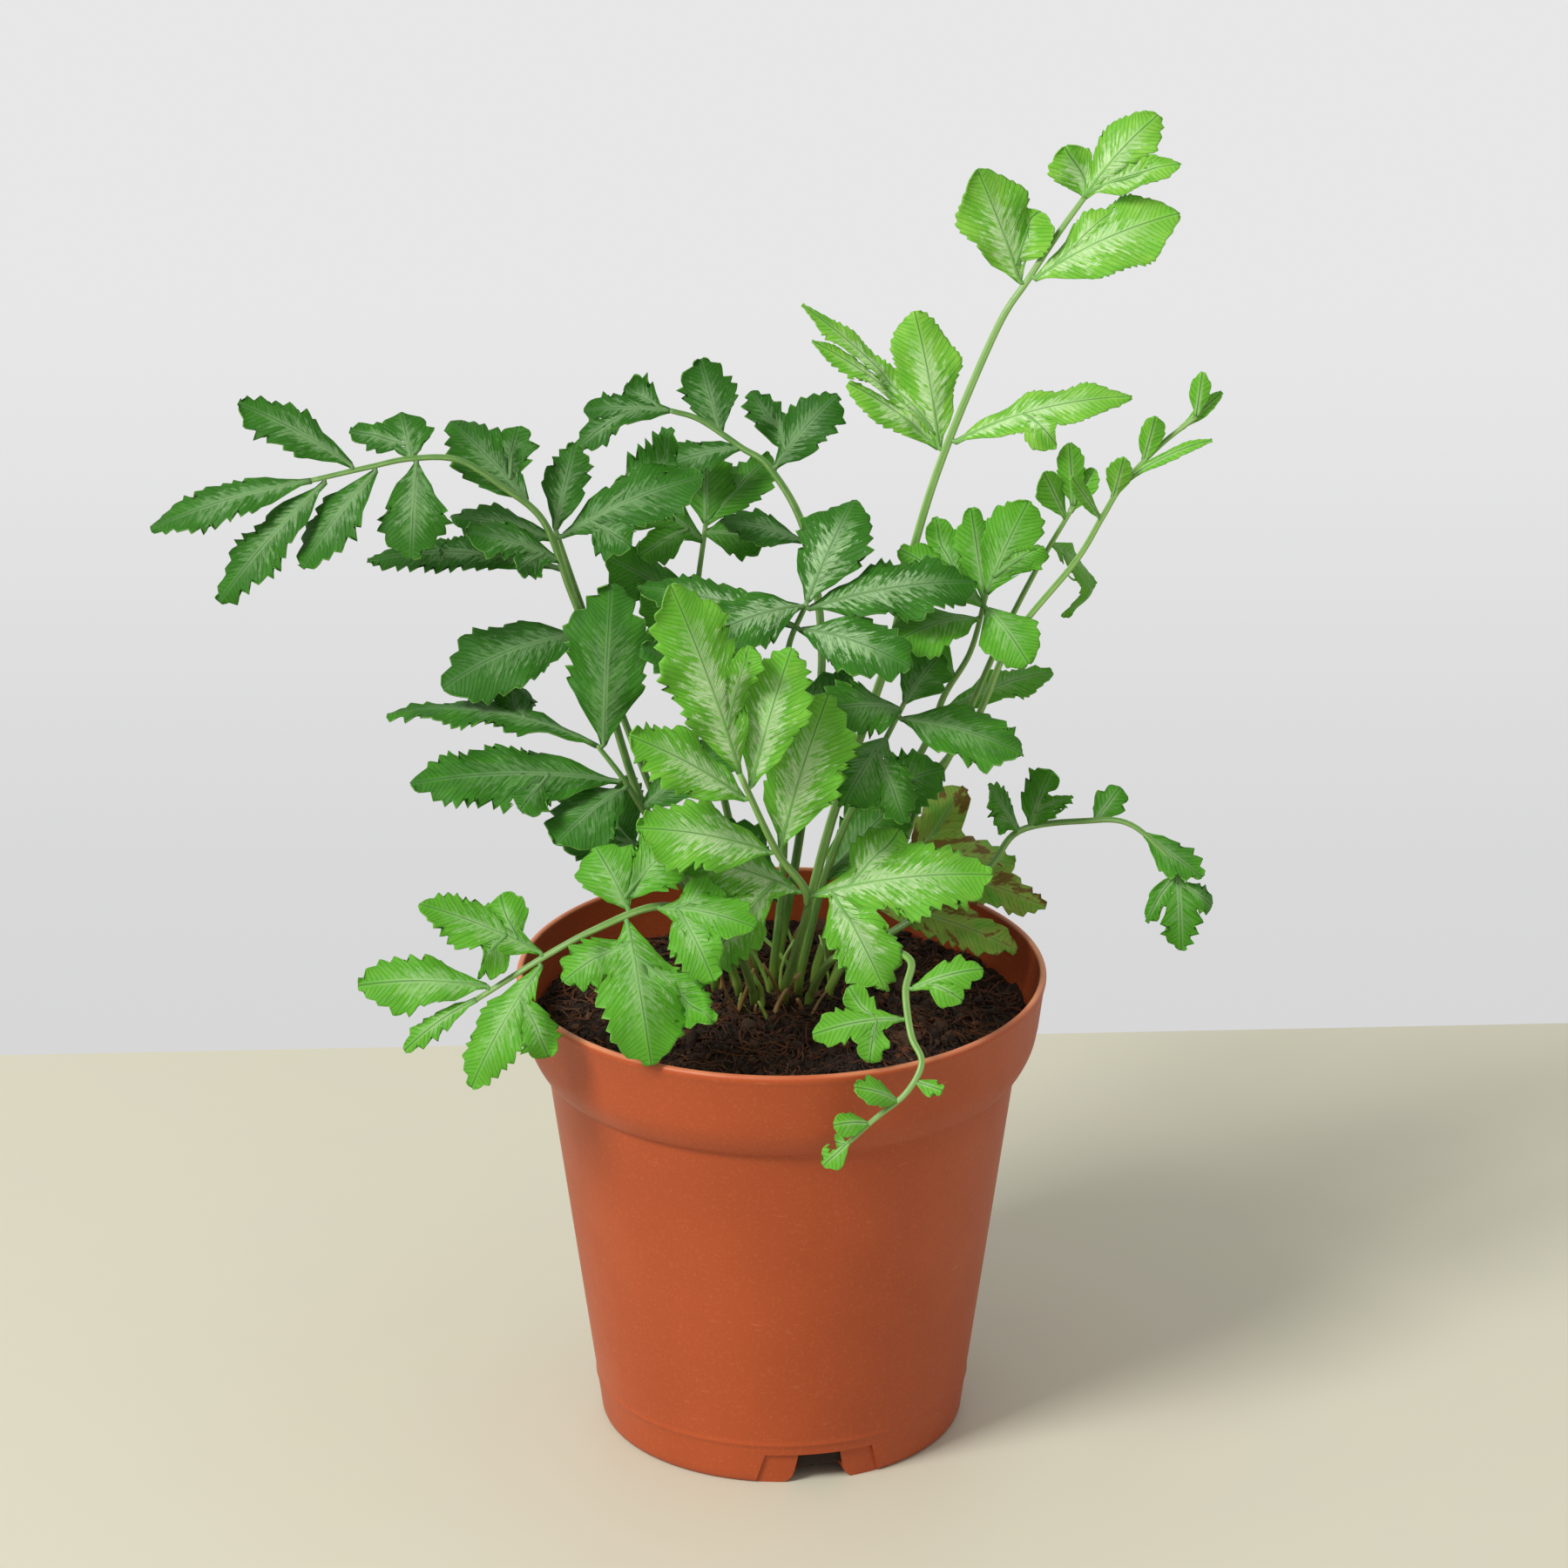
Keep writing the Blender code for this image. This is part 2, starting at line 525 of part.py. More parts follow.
def blade_frame(base, tip, roll):
    """Unit vectors along a blade, across it and out of its upper face."""
    along = unit(tip - base)
    face = unit(BLADE_FACING - BLADE_FACING.dot(along) * along)
    angle = math.radians(roll)
    face = face * math.cos(angle) + np.cross(along, face) * math.sin(angle)
    return along, np.cross(along, face), face


def blade_point(base, tip, roll, arch, share):
    """A point on the midrib, which bows out of the straight line from base to tip."""
    face = blade_frame(base, tip, roll)[2]
    length = np.linalg.norm(tip - base)
    return base + (tip - base) * share + face * arch * length * 4 * share * (1 - share)


def half_width(share, width):
    """Narrow at the stalk, widest past the middle, round at the tip."""
    full = width / 2 * (share / WIDEST) ** BASE_POWER * ((1.0 - share) / (1.0 - WIDEST)) ** TIP_POWER
    least = STALK_HALF_WIDTH if share < 0.5 else TIP_HALF_WIDTH
    return max(full, least)


def blade(name, base, tip, width, roll, arch, spans, make):
    """A thin curved blade, folded a little along its midrib. make adds it as a part or a helper."""
    bm = bmesh.new()
    bmesh.ops.create_grid(bm, x_segments=2, y_segments=spans, size=1.0)
    across, face = blade_frame(base, tip, roll)[1:]
    for vert in bm.verts:
        share = min(max((vert.co.y + 1) / 2, 0.0), 1.0)
        offset = vert.co.x * half_width(share, width)
        place = blade_point(base, tip, roll, arch, share) + across * offset - face * FOLD * abs(offset)
        vert.co = place * MM
    obj = make(name, mesh_of(name, bm))
    add_solidify(obj, BLADE_THICKNESS)
    return obj


def add_leaf_part(name, mesh):
    return add_part(name, mesh, LEAF_COLOUR, 0.45)


def leaflet(name, base, leaf, make):
    """A blade and its lobes. Returns every shape, the blade first."""
    tip, width, roll, arch, lobes = leaf
    tip = np.asarray(tip, float)
    shapes = [blade(name, base, tip, width, roll, arch, BLADE_SPANS, make)]
    for index, (share, lobe_tip, lobe_width) in enumerate(lobes):
        start = blade_point(base, tip, roll, arch, share)
        lobe_name = f"{name}_lobe_{index}"
        shapes.append(blade(
            lobe_name, start, np.asarray(lobe_tip, float), lobe_width, roll, arch, LOBE_SPANS, add_helper))
    return shapes


def beside_stem(points, at, tip, base_radius):
    """Where a leaflet starts, just clear of the stem on the side its tip lies."""
    centre, ahead = stem_places(points, [at, min(at + 0.05, len(points) - 1)])
    centre_to_tip = np.asarray(tip, float) - centre
    if np.allclose(ahead, centre):
        return centre + unit(centre_to_tip) * (base_radius + GAP)
    tangent = unit(ahead - centre)
    outward = unit(centre_to_tip - centre_to_tip.dot(tangent) * tangent)
    return centre + outward * (stem_radius(base_radius, at, len(points)) + GAP + BLADE_THICKNESS / 2)


def build_frond(frond_name, base_radius, points, leaflets):
    stem_name = f"{frond_name}_stem"
    stem = add_part(stem_name, stem_mesh(stem_name, base_radius, points), STEM_COLOUR, 0.5)
    for index, (leaf_name, at, *leaf) in enumerate(leaflets):
        if leaf_name is None:
            base = stem_places(points, [at])[0]
            for shape in leaflet(f"{frond_name}_grown_{index}", base, leaf, add_helper):
                boolean(stem, "UNION", shape)
            continue
        base = beside_stem(points, at, leaf[0], base_radius)
        main, *lobes = leaflet(f"{frond_name}_leaf_{leaf_name}", base, leaf, add_leaf_part)
        for lobe in lobes:
            boolean(main, "UNION", lobe)
        add_weld(main)
    add_weld(stem)


clear_scene()
PARTS = new_collection(OBJECT_NAME, False)
HELPERS = new_collection("helpers", True)
build_pot()
build_soil()
for frond in FRONDS:
    build_frond(*frond)
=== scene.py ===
"""Looks of a potted slender brake fern: toothed silver-marked leaflets, grooved stems, peat and a pot."""
import json
import math

import bmesh
import bpy
import numpy as np
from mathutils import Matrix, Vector

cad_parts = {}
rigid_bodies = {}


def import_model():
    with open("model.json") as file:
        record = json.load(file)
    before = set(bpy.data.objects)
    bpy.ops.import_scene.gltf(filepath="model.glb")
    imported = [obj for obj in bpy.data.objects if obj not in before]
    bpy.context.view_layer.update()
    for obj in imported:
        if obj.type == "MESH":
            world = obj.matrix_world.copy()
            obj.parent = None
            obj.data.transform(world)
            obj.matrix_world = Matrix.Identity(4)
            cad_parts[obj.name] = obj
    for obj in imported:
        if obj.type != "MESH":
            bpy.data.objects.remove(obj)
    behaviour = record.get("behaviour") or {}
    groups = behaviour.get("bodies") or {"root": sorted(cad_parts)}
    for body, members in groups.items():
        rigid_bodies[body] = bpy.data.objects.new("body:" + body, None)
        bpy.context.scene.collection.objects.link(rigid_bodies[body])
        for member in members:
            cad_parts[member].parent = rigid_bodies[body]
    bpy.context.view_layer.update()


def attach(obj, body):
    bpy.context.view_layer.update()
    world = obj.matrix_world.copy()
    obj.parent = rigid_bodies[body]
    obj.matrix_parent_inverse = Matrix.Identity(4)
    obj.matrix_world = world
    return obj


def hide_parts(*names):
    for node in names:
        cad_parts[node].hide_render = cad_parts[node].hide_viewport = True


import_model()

MM = 0.001


def linear(red, green, blue):
    """A colour given in 0 to 255 display values."""
    return tuple(((part / 255 + 0.055) / 1.055) ** 2.4 if part > 10 else part / 255 / 12.92
                 for part in (red, green, blue)) + (1.0,)


# Leaves: greens from the oldest to the youngest, and the colours on top of them
LEAF_GREENS = [(0.0, linear(38, 88, 26)), (0.3, linear(52, 116, 28)), (0.6, linear(84, 162, 38)),
               (0.85, linear(112, 188, 54)), (1.0, linear(150, 208, 80))]
VEIN_GREEN = linear(34, 86, 30)
FLECK_GREEN = linear(120, 190, 80)
SILVER_OLD = linear(152, 194, 142)
SILVER_YOUNG = linear(214, 240, 188)
# Painted shade along the bottom of the midrib's groove
MIDRIB_GROOVE_SHADE = linear(62, 110, 48)
MARGIN_GREEN = linear(150, 205, 105)
YELLOWED = linear(176, 178, 90)
DEAD_BROWN = linear(116, 66, 30)
UNDERSIDE_GREEN = linear(150, 190, 128)
UNDERSIDE_VEIN = linear(168, 205, 140)
VEIN_SPACING = 1.15
LIGHT_THROUGH = 0.28

# Stems
STEM_OLD = linear(70, 118, 52)
STEM_YOUNG = linear(132, 176, 88)
STEM_GRAIN = linear(160, 190, 110)
# Painted shade in the groove along the upper side of a stem
STEM_GROOVE_SHADE = linear(66, 112, 46)
STEM_FOOT_YELLOW = linear(150, 182, 70)
STEM_FOOT_BROWN = linear(112, 84, 36)
DRY_DARK = linear(92, 56, 26)
DRY_PALE = linear(176, 140, 84)

# Peat and pot
PEAT_BROWNS = [(0.1, linear(24, 17, 14)), (0.45, linear(52, 37, 29)), (0.75, linear(80, 58, 43)),
               (1.0, linear(116, 88, 64))]
FIBRE_RED = linear(122, 72, 44)
DAMP_BROWN = linear(28, 21, 18)
TERRACOTTA = linear(169, 73, 31)
TERRACOTTA_DEEP = linear(161, 69, 29)
PEBBLE_PALE = linear(206, 118, 76)
SCUFF_PALE = linear(205, 128, 92)
# Painted highlight: the top of the lip is lightened where the light catches its rounding
LIP_PAINTED_HIGHLIGHT = linear(222, 150, 108)

# Camera and studio, metres and degrees
CAMERA_TARGET = (0.0005, 0.0, 0.1355)
CAMERA_DISTANCE = 1.5
CAMERA_ELEVATION = 22.2
CAMERA_LENS = 175.2
TABLE_HALF_WIDTH = 1.6
TABLE_FRONT = -1.8
TABLE_BACK_LEFT = 0.10
TABLE_BACK_RIGHT = 0.26
TABLE_COLOUR = linear(199, 197, 178)
BACKDROP_REACH = 8.0
BACKDROP_HEIGHT = -0.7
BACKDROP_NEAR = linear(215, 215, 216)
BACKDROP_FAR = linear(231, 231, 231)
AMBIENT = 0.64
AMBIENT_COLOUR = (1.0, 0.985, 0.955, 1.0)
KEY_PLACE = (-1.4, -1.25, 1.85)
KEY_TARGET = (0.0, 0.0, 0.1)
KEY_SIZE = 0.8
KEY_POWER = 63.0
KEY_COLOUR = (1.0, 0.98, 0.94)

# Pot, millimetres
POT_HEIGHT = 96.0
RIM_RADIUS = 52.5
COLLAR_FOOT_RADIUS = 51.2
COLLAR_HEIGHT = 19.3
SHOULDER = POT_HEIGHT - COLLAR_HEIGHT
BODY_TOP_RADIUS = 46.6
FOOT_RADIUS = 36.2
WALL = 1.1
FLOOR_TOP = 3.2
RING_UNDERSIDE = 1.2
CENTRE_DISC_RADIUS = 10.0
CENTRE_DISC_SLOPE = 1.0
NEAR_AXIS = 0.4
LINE_HEIGHT = 9.0
LINE_RAISE = 0.15
# Height from which the top of the lip gets its painted highlight
LIP_HIGHLIGHT_FROM = 95.2
POT_SIDES = 240
SHARP_ANGLE = 38.0

# Curves of the pot's section. Each point is a distance out and a rise from the place that its comment names.
# The rim at the top of the pot
LIP_CURVE = [(-1.3, -1.0), (-1.2, -0.3), (-0.8, 0.0), (-0.15, -0.25), (0.1, -0.9), (-0.05, -1.7),
             (-0.25, -2.2)]
INNER_LIP = (-1.3, -1.6)
# The collar's foot at the shoulder, outside and inside
COLLAR_CURVE = [(0.0, 9.0), (-0.75, 5.5), (-1.9, 2.8)]
INNER_COLLAR = [(-2.0, 3.4), (0.0, 9.0)]
# The body's top at the shoulder, outside and inside
NECK_CURVE = [(1.3, 0.6), (0.25, 0.0), (0.0, -0.8)]
INNER_NECK = (0.0, -0.4)
# Heights from the middle of the raised line: of the wall beside it, and of its flat top
LINE_WALL_RISES = (1.2, 0.5, -0.5, -1.2)
LINE_TOP_RISES = (0.2, -0.2)
# The outside of the foot on the ground
FOOT_CURVE = [(-0.15, 0.45), (-0.7, 0.0), (-2.6, 0.0), (-3.2, RING_UNDERSIDE)]
FOOT_WALL_HEIGHTS = (2.2, 1.2)

# Drainage slot at the foot and holes in the floor, millimetres and degrees
SLOT_ANGLE = 12.0
PANEL_TOP_WIDTH = 21.5
PANEL_FOOT_WIDTH = 26.0
PANEL_HEIGHT = 6.7
PANEL_DEPTH = 0.6
PANEL_STEPS = 17
# Half width of the notch at each height
NOTCH_OUTLINE = [(4.2, 6.5), (4.5, 5.0), (5.0, 2.6), (5.5, 1.3), (6.2, 0.5), (7.2, 0.0), (7.4, -1.0)]
NOTCH_REACH = 5.0
CUT_MARGIN = 4.0
CUT_BELOW = 0.5
DRAIN_RADIUS = 3.5
DRAIN_RING_RADIUS = 23.0
DRAIN_COUNT = 6
DRAIN_SIDES = 32

# Peat, millimetres. Crumbs and clods: how many, how round, size range, and the share that is reddish.
SOIL_TOP = 87.5
SOIL_CROWN_RADIUS = 23.0
SOIL_EDGE = 85.0
SOIL_GAP = 0.3
SOIL_EDGE_RADIUS = COLLAR_FOOT_RADIUS - WALL - SOIL_GAP
SOIL_SINK = 0.4
SOIL_RINGS = 66
SOIL_SIDES = 260
WAVES = [(17.0, 0.16), (9.0, 0.16), (4.5, 0.12), (2.4, 0.08)]
WAVES_OF_A_LENGTH = 5
CRUMBS = (5200, 1, 0.3, 1.35, 0.1)
CLODS = (120, 2, 1.1, 2.6, 0.04)
LUMP_SIZE_POWER = 2.2
LUMP_STRETCH = (0.45, 1.25)
LUMP_JITTER = 0.22
LUMP_LIFT = 0.25
SCATTER_RADIUS = COLLAR_FOOT_RADIUS - WALL - 2.0
FIBRE_COUNT = 2400
FIBRE_LENGTH = (2.0, 9.0)
FIBRE_RADIUS = (0.08, 0.24)
FIBRE_TAPER = np.array([0.5, 1.0, 1.0, 1.0, 0.9, 0.4])
FIBRE_SIDES = 4
FIBRE_BEND = 0.25
FIBRE_LIFT = 0.9
FIBRE_TILT = 1.2
FIBRE_CLEAR = 0.35
FIBRE_DIP = 0.5
FIBRE_LIMIT = COLLAR_FOOT_RADIUS - WALL - 1.5
FIBRE_TONE = (0.2, 1.0)
FIBRE_REDNESS = 0.35
GROUND_TONE = (0.15, 0.0, 1.0)
GROUND_SEED = 11
PEAT_SEED = 5

# Old and young stalks at the crown, millimetres
CROWN_Y = 8.0
OLD_STALK_COUNT = 26
OLD_STALK_SPREAD = 14.0
OLD_STALK_LENGTH = (4.0, 19.0)
OLD_STALK_RADIUS = (0.25, 0.65)
OLD_STALK_LEAN = 0.3
OLD_STALK_BEND = 0.12
OLD_STALK_TAPER = 0.4
OLD_STALK_GROOVE = 0.1
OLD_STALK_BURIED = 1.5
OLD_STALK_STEPS = 6
OLD_STALK_SIDES = 8
OLD_STALK_AGE = 0.9
OLD_STALK_SEED = 23
DRY_SHARE = 0.6

# Stems, millimetres
STEM_SIDES = 14
STEM_STEPS = 8
STEM_TAPER = 0.45
STEM_GROOVE = 0.22
GROOVE_ANGLE = 0.55
STEM_BURIED = 4.0
STEM_LOOK_AHEAD = 0.05

# Leaflets, millimetres
STALK_HALF_WIDTH = 0.6
TIP_HALF_WIDTH = 0.5
BASE_POWER = 1.1
TIP_POWER = 0.72
WIDEST = BASE_POWER / (BASE_POWER + TIP_POWER)
SHEET_THICKNESS = 0.25
BESIDE_STEM = 0.55
AT_STEM_END = 0.3
BLADE_FACING = np.array([0.0, -0.6, 0.8])
FOLD = 0.16
FOLD_ROUND = 0.3
MOST_TWIST = 0.45
MOST_OUT = 1.3
WAVE_SHARE = 0.07
WAVE_LENGTH = 12.0
QUILT_HEIGHT = 0.09
QUILT_LENGTH = 2.3
RIDGE_HEIGHT = 0.12
RIDGE_PLACE = 0.4
RIDGE_WIDTH = 0.25
SWELL_SHARE = 0.09
SWELL_LENGTH = 11.0

# Teeth and side veins, millimetres and shares of the leaflet's length or of its half width
TOOTH_START = 0.32
TOOTH_END = 0.985
TOOTH_PROFILE = [(0.0, 0.8), (0.33, 0.3), (0.6, -0.1), (0.8, -0.35)]
TOOTH_STEP_SPREAD = (0.55, 1.45)
TOOTH_DEPTH_SPREAD = (0.3, 1.5)
TOOTH_INSIDE = 0.72
PLAIN_ROW_STEP = 1.6
VEIN_LEAN = 0.95
COLUMN_SHARES = [0.2, 0.4, 0.6, 0.8, 0.9, 1.0]

# Lobes on their leaflet and the rib under each blade, millimetres
LOBE_BELOW = 0.05
LOBE_FREE_AFTER = 4.0
LOBE_OVERLAP = 0.12
COVER_HEIGHT = 3.0
NOT_COVERED = 9.0
SEED_STEP = 3.7
RIB_POINTS = 18
RIB_REACH = 0.93
RIB_SIDES = 8
RIB_DEPTH = 0.3
RIB_MOST_RADIUS = 0.55
RIB_LEAST_RADIUS = 0.1
RIB_WIDTH_SHARE = 0.05
RIB_TIP_RADIUS = 0.14

# How each frond looks: age (0 is dark and old, 1 is yellowish and young), how much silver and brown it has,
# and the spacing and depth of its teeth in millimetres
FROND_LOOKS = {
    "tall": (0.9, 1.0, 0.0, 1.6, 0.45),
    "bud_long": (0.85, 0.1, 0.0, 2.0, 0.3),
    "bud_short": (0.8, 0.1, 0.0, 2.0, 0.3),
    "young": (0.68, 0.35, 0.0, 2.4, 0.7),
    "arching": (0.5, 0.2, 0.0, 2.6, 1.3),
    "front": (0.84, 1.0, 0.0, 2.7, 1.3),
    "low_left": (0.7, 0.45, 0.0, 2.4, 1.2),
    "hanging": (0.8, 0.12, 0.0, 2.8, 1.0),
    "spread": (0.28, 0.45, 0.0, 2.6, 1.3),
    "upper_left": (0.25, 0.4, 0.0, 2.6, 1.3),
    "back": (0.2, 0.45, 0.0, 2.6, 1.2),
    "centre": (0.3, 1.0, 0.0, 2.7, 1.3),
    "mid_left": (0.33, 0.3, 0.0, 2.6, 1.4),
    "low_back": (0.35, 0.08, 0.0, 2.6, 1.2),
    "mid_back": (0.5, 0.15, 0.0, 2.6, 1.0),
    "mid_right": (0.42, 0.35, 0.0, 2.7, 1.5),
    "back_right": (0.75, 0.1, 0.8, 2.6, 1.0),
}

# Each frond: name, stem radius, stem points, leaflets.
# A leaflet: name (None when it is one body with the stem), place along the stem counted in stem points,
# tip, width, roll in degrees, arch as a share of its length, lobes.
# A lobe: share of the leaflet's length where it leaves, tip, width.
FRONDS = [
    ("tall", 1.0,
     [(2, 12, 88.5), (10, 12, 123), (21, 13, 157), (26, 14, 180), (32, 17, 199), (42, 23, 222),
      (48, 26, 231), (54, 28, 240), (59, 29, 247)],
     [(None, 8, (73, 28, 264), 11, 0, 0.08, [(0.0, (55, 30, 257), 9), (0.05, (77, 22, 256), 8)]),
      ("lower_left", 4.0, (26, 25, 225), 13, 10, 0.06,
       [(0.1, (4, 23, 227), 6), (0.1, (6, 19, 221), 6), (0.0, (13, 17, 213), 8)]),
      ("lower_right", 4.1, (68, 12, 212), 10, 0, 0.1, [(0.42, (54, 9, 202), 8)]),
      ("upper_left", 5.9, (38, 28, 253), 15, 0, 0.05, [(0.15, (52, 25, 245), 9)]),
      ("upper_right", 6.1, (77, 22, 246), 15, 0, 0.08, [(0.15, (64, 26, 246), 8)])]),
    ("bud_long", 0.85,
     [(10, 10, 88.5), (15, 8, 101), (23, 7, 117), (29, 6, 133), (38, 4, 147), (45, 2, 165),
      (57, 0, 182), (62, 0, 191), (66, 0, 198), (73, 0, 206), (80, 0, 212)],
     [(None, 10, (81, 0, 221), 4, 0, 0.0, []),
      (None, 9.6, (85, 3, 216), 3, 0, 0.0, []),
      (None, 8.6, (72, -3, 213), 5, 0, 0.0, []),
      (None, 8.1, (83, -2, 208), 3, 0, 0.1, []),
      (None, 7.6, (66, -4, 205), 5, 20, 0.0, []),
      (None, 7, (56, -4, 201), 4, 0, 0.0, [])]),
    ("bud_short", 0.85,
     [(7, 15, 88.5), (17, 12, 109), (32, 10, 135), (37, 10, 147), (43, 10, 162), (50, 10, 177),
      (57, 10, 190)],
     [(None, 6, (56, 10, 203), 6, 0, 0.0, []),
      (None, 5.8, (51, 7, 198), 6, 0, 0.0, []),
      (None, 5.9, (61, 12, 197), 5, 0, 0.0, []),
      (None, 5.4, (62, 19, 170), 9, 0, 0.05, [(0.2, (56, 17, 164), 7)])]),
    ("young", 0.9,
     [(6, 11, 88.5), (14, 9, 114), (28, 10, 139), (32, 8, 151), (37, 6, 161), (40, 4, 174)],
     [(None, 5, (48, 2, 194), 12, 0, 0.05, [(0.2, (53, 4, 185), 9)]),
      (None, 4.9, (37, 9, 190), 8, 0, 0.0, []),
      (None, 4.8, (23, 10, 181), 10, 0, 0.08, [(0.25, (30, 12, 187), 7)]),
      (None, 3.4, (24, 9, 163), 11, 0, 0.06, []),
      ("low_left", 4.6, (22, -7, 168), 12, 10, 0.1, []),
      ("low", 4.8, (48, -8, 164), 12, 0, 0.1, []),
      ("right", 2.6, (54, 26, 149), 8, 0, 0.08, [])]),
    ("arching", 0.9,
     [(9, 5, 88.5), (14, 4, 97), (24, 5, 103), (40, 6, 114), (47, 6, 123), (60, 4, 126), (69, 2, 126),
      (78, -2, 119)],
     [(None, 7, (79, -5, 102), 8, 0, 0.1, [(0.2, (85, -1, 110), 6), (0.1, (72, -5, 108), 5)]),
      (None, 6.3, (83, -3, 117), 9, 0, 0.0, []),
      (None, 4, (41, 2, 134), 8, 0, 0.0, [(0.2, (42, 2, 128), 6)]),
      (None, 4.2, (53, 1, 138), 10, 0, 0.05, [(0.3, (58, 2, 133), 6)]),
      (None, 5.2, (67, 7, 132), 7, 0, 0.0, [])]),
    ("front", 1.1,
     [(0, 2, 88.5), (3, -10, 105), (5, -22, 121), (-1, -28, 133), (-8, -35, 152)],
     [(None, 4, (-21, -36, 191), 17, 0, 0.06, [(0.25, (-6, -32, 177), 10)]),
      ("low_right", 2, (41, -21, 125), 17, 0, 0.08,
       [(0.1, (20, -38, 108), 14), (0.2, (23, -14, 132), 11)]),
      ("low_left", 2.1, (-22, -25, 131), 14, 0, 0.08, [(0.2, (-15, -29, 108), 13)]),
      ("mid_left", 3, (-28, -31, 139), 16, 0, 0.08, []),
      ("mid_right", 3, (9, -22, 163), 17, 0, 0.08, []),
      ("upper_left", 3.7, (-29, -38, 161), 14, 0, 0.06, []),
      ("upper_right", 3.8, (2, -28, 175), 14, 0, 0.06, [])]),
    ("low_left", 1.0,
     [(-5, 1, 88.5), (-9, -14, 107), (-17, -24, 118), (-25, -30, 122), (-36, -34, 119), (-46, -36, 114),
      (-59, -38, 106)],
     [(None, 6, (-73, -40, 96), 5, 0, 0.1, []),
      ("inner_up", 3.4, (-36, -26, 133), 12, 0, 0.08, [(0.15, (-19, -26, 135), 12)]),
      ("inner_right", 2.9, (-5, -40, 122), 12, 0, 0.1,
       [(0.15, (-12, -34, 129), 9), (0.2, (-13, -43, 112), 11)]),
      ("inner_down", 3.5, (-25, -49, 97), 17, 0, 0.12,
       [(0.15, (-42, -43, 112), 11), (0.25, (-13, -47, 105), 10)]),
      ("outer_up", 5, (-70, -33, 124), 12, 0, 0.06, [(0.3, (-59, -36, 110), 9), (0.2, (-54, -31, 126), 8)]),
      ("outer_down", 5.1, (-60, -44, 90), 11, 0, 0.1, [(0.25, (-45, -43, 96), 9)]),
      ("end_left", 5.8, (-82, -36, 108), 11, 0, 0.08, [])]),
    ("hanging", 0.9,
     [(5, 1, 88.5), (10, -14, 104), (19, -25, 111), (25, -33, 112), (24, -39, 108), (25, -46, 102),
      (27, -50, 98), (24, -53, 93), (18, -54, 88), (13, -54, 83)],
     [(None, 9, (8, -54, 78), 5, 0, 0.0, [(0.1, (9, -55, 84), 4)]),
      (None, 7.3, (14, -57, 96), 7, 0, 0.1, []),
      (None, 8.2, (10, -57, 88), 5, 0, 0.1, []),
      (None, 6.6, (31, -54, 94), 4, 0, 0.0, []),
      ("right", 3.9, (39, -37, 112), 7, 0, 0.1, [(0.2, (35, -41, 107), 6)]),
      ("left", 4.6, (6, -48, 103), 7, 0, 0.1, [(0.3, (13, -43, 111), 6), (0.3, (17, -50, 98), 7)])]),
    ("spread", 0.9,
     [(-13, 9, 88.5), (-18, 4, 113), (-28, 0, 133), (-36, -1, 162), (-41, -2, 177), (-46, -4, 192),
      (-54, -6, 200), (-62, -8, 206), (-71, -10, 207), (-79, -12, 206), (-90, -14, 204)],
     [(None, 10, (-121, -16, 195), 10, 0, 0.06, []),
      (None, 8, (-73, -3, 214), 10, 0, 0.0, [(0.3, (-83, -5, 211), 6)]),
      (None, 4.4, (-61, -10, 192), 11, 0, 0.08, [(0.2, (-52, -12, 184), 8)]),
      ("end_down", 9.8, (-108, -19, 181), 10, 0, 0.06, []),
      ("outer_up", 9.3, (-104, -9, 218), 10, 0, 0.06, []),
      ("outer_down", 8.9, (-92, -19, 188), 11, 0, 0.06, []),
      ("middle_down", 7.9, (-71, -17, 189), 13, 0, 0.06, []),
      ("inner_up", 5.4, (-64, 3, 210), 14, 0, 0.06, [(0.25, (-51, 6, 208), 9)])]),
    ("upper_left", 0.9,
     [(-9, 13, 88.5), (-17, 9, 110), (-25, 6, 130), (-34, 5, 156), (-39, 5, 171), (-44, 5, 187)],
     [(None, 5, (-40, 10, 203), 9, 0, 0.05, []),
      ("right", 4.9, (-15, 8, 197), 14, 0, 0.08,
       [(0.25, (-21, 10, 206), 8), (0.2, (-29, 0, 185), 10)]),
      ("left", 4.9, (-64, 1, 191), 10, 0, 0.08, []),
      ("far_left", 4.5, (-81, 9, 179), 8, 0, 0.12, [(0.4, (-66, 14, 172), 7)]),
      ("low", 3.6, (-66, -6, 158), 15, 10, 0.12, [])]),
    ("back", 0.95,
     [(-1, 17, 88.5), (4, 19, 119), (8, 22, 152), (5, 24, 178), (-2, 28, 191), (-8, 30, 195),
      (-16, 32, 200), (-22, 32, 202)],
     [(None, 7, (-39, 32, 202), 9, 0, 0.06, [(0.1, (-31, 34, 209), 6), (0.35, (-41, 28, 195), 6)]),
      (None, 5.5, (-16, 37, 211), 11, 0, 0.0, []),
      (None, 5.0, (-24, 27, 192), 8, 0, 0.06, []),
      ("right", 4, (11, 30, 206), 11, 0, 0.08, [(0.2, (-6, 35, 205), 8)]),
      ("low", 3, (-12, 20, 183), 9, 0, 0.1, [])]),
    ("centre", 0.9,
     [(-2, 9, 88.5), (0, 2, 112), (1, -4, 140), (1, -8, 165), (5, -8, 177)],
     [(None, 4, (14, 8, 192), 15, 0, 0.06, []),
      (None, 3.5, (-28, -3, 178), 11, 0, 0.08, []),
      (None, 0.9, (-14, 3, 126), 13, 0, 0.06, []),
      (None, 2.2, (13, 2, 158), 12, 10, 0.06, []),
      ("right", 3.9, (38, 0, 178), 14, 0, 0.08, []),
      ("low_right", 3.5, (25, -20, 168), 14, 0, 0.1, []),
      ("left", 3.9, (-15, -18, 173), 13, 0, 0.1, []),
      ("low_left", 2.3, (-27, -17, 171), 15, 0, 0.06, [])]),
    ("mid_left", 0.85,
     [(-8, 6, 88.5), (-15, 0, 108), (-26, -5, 130), (-31, -8, 140), (-36, -8, 147)],
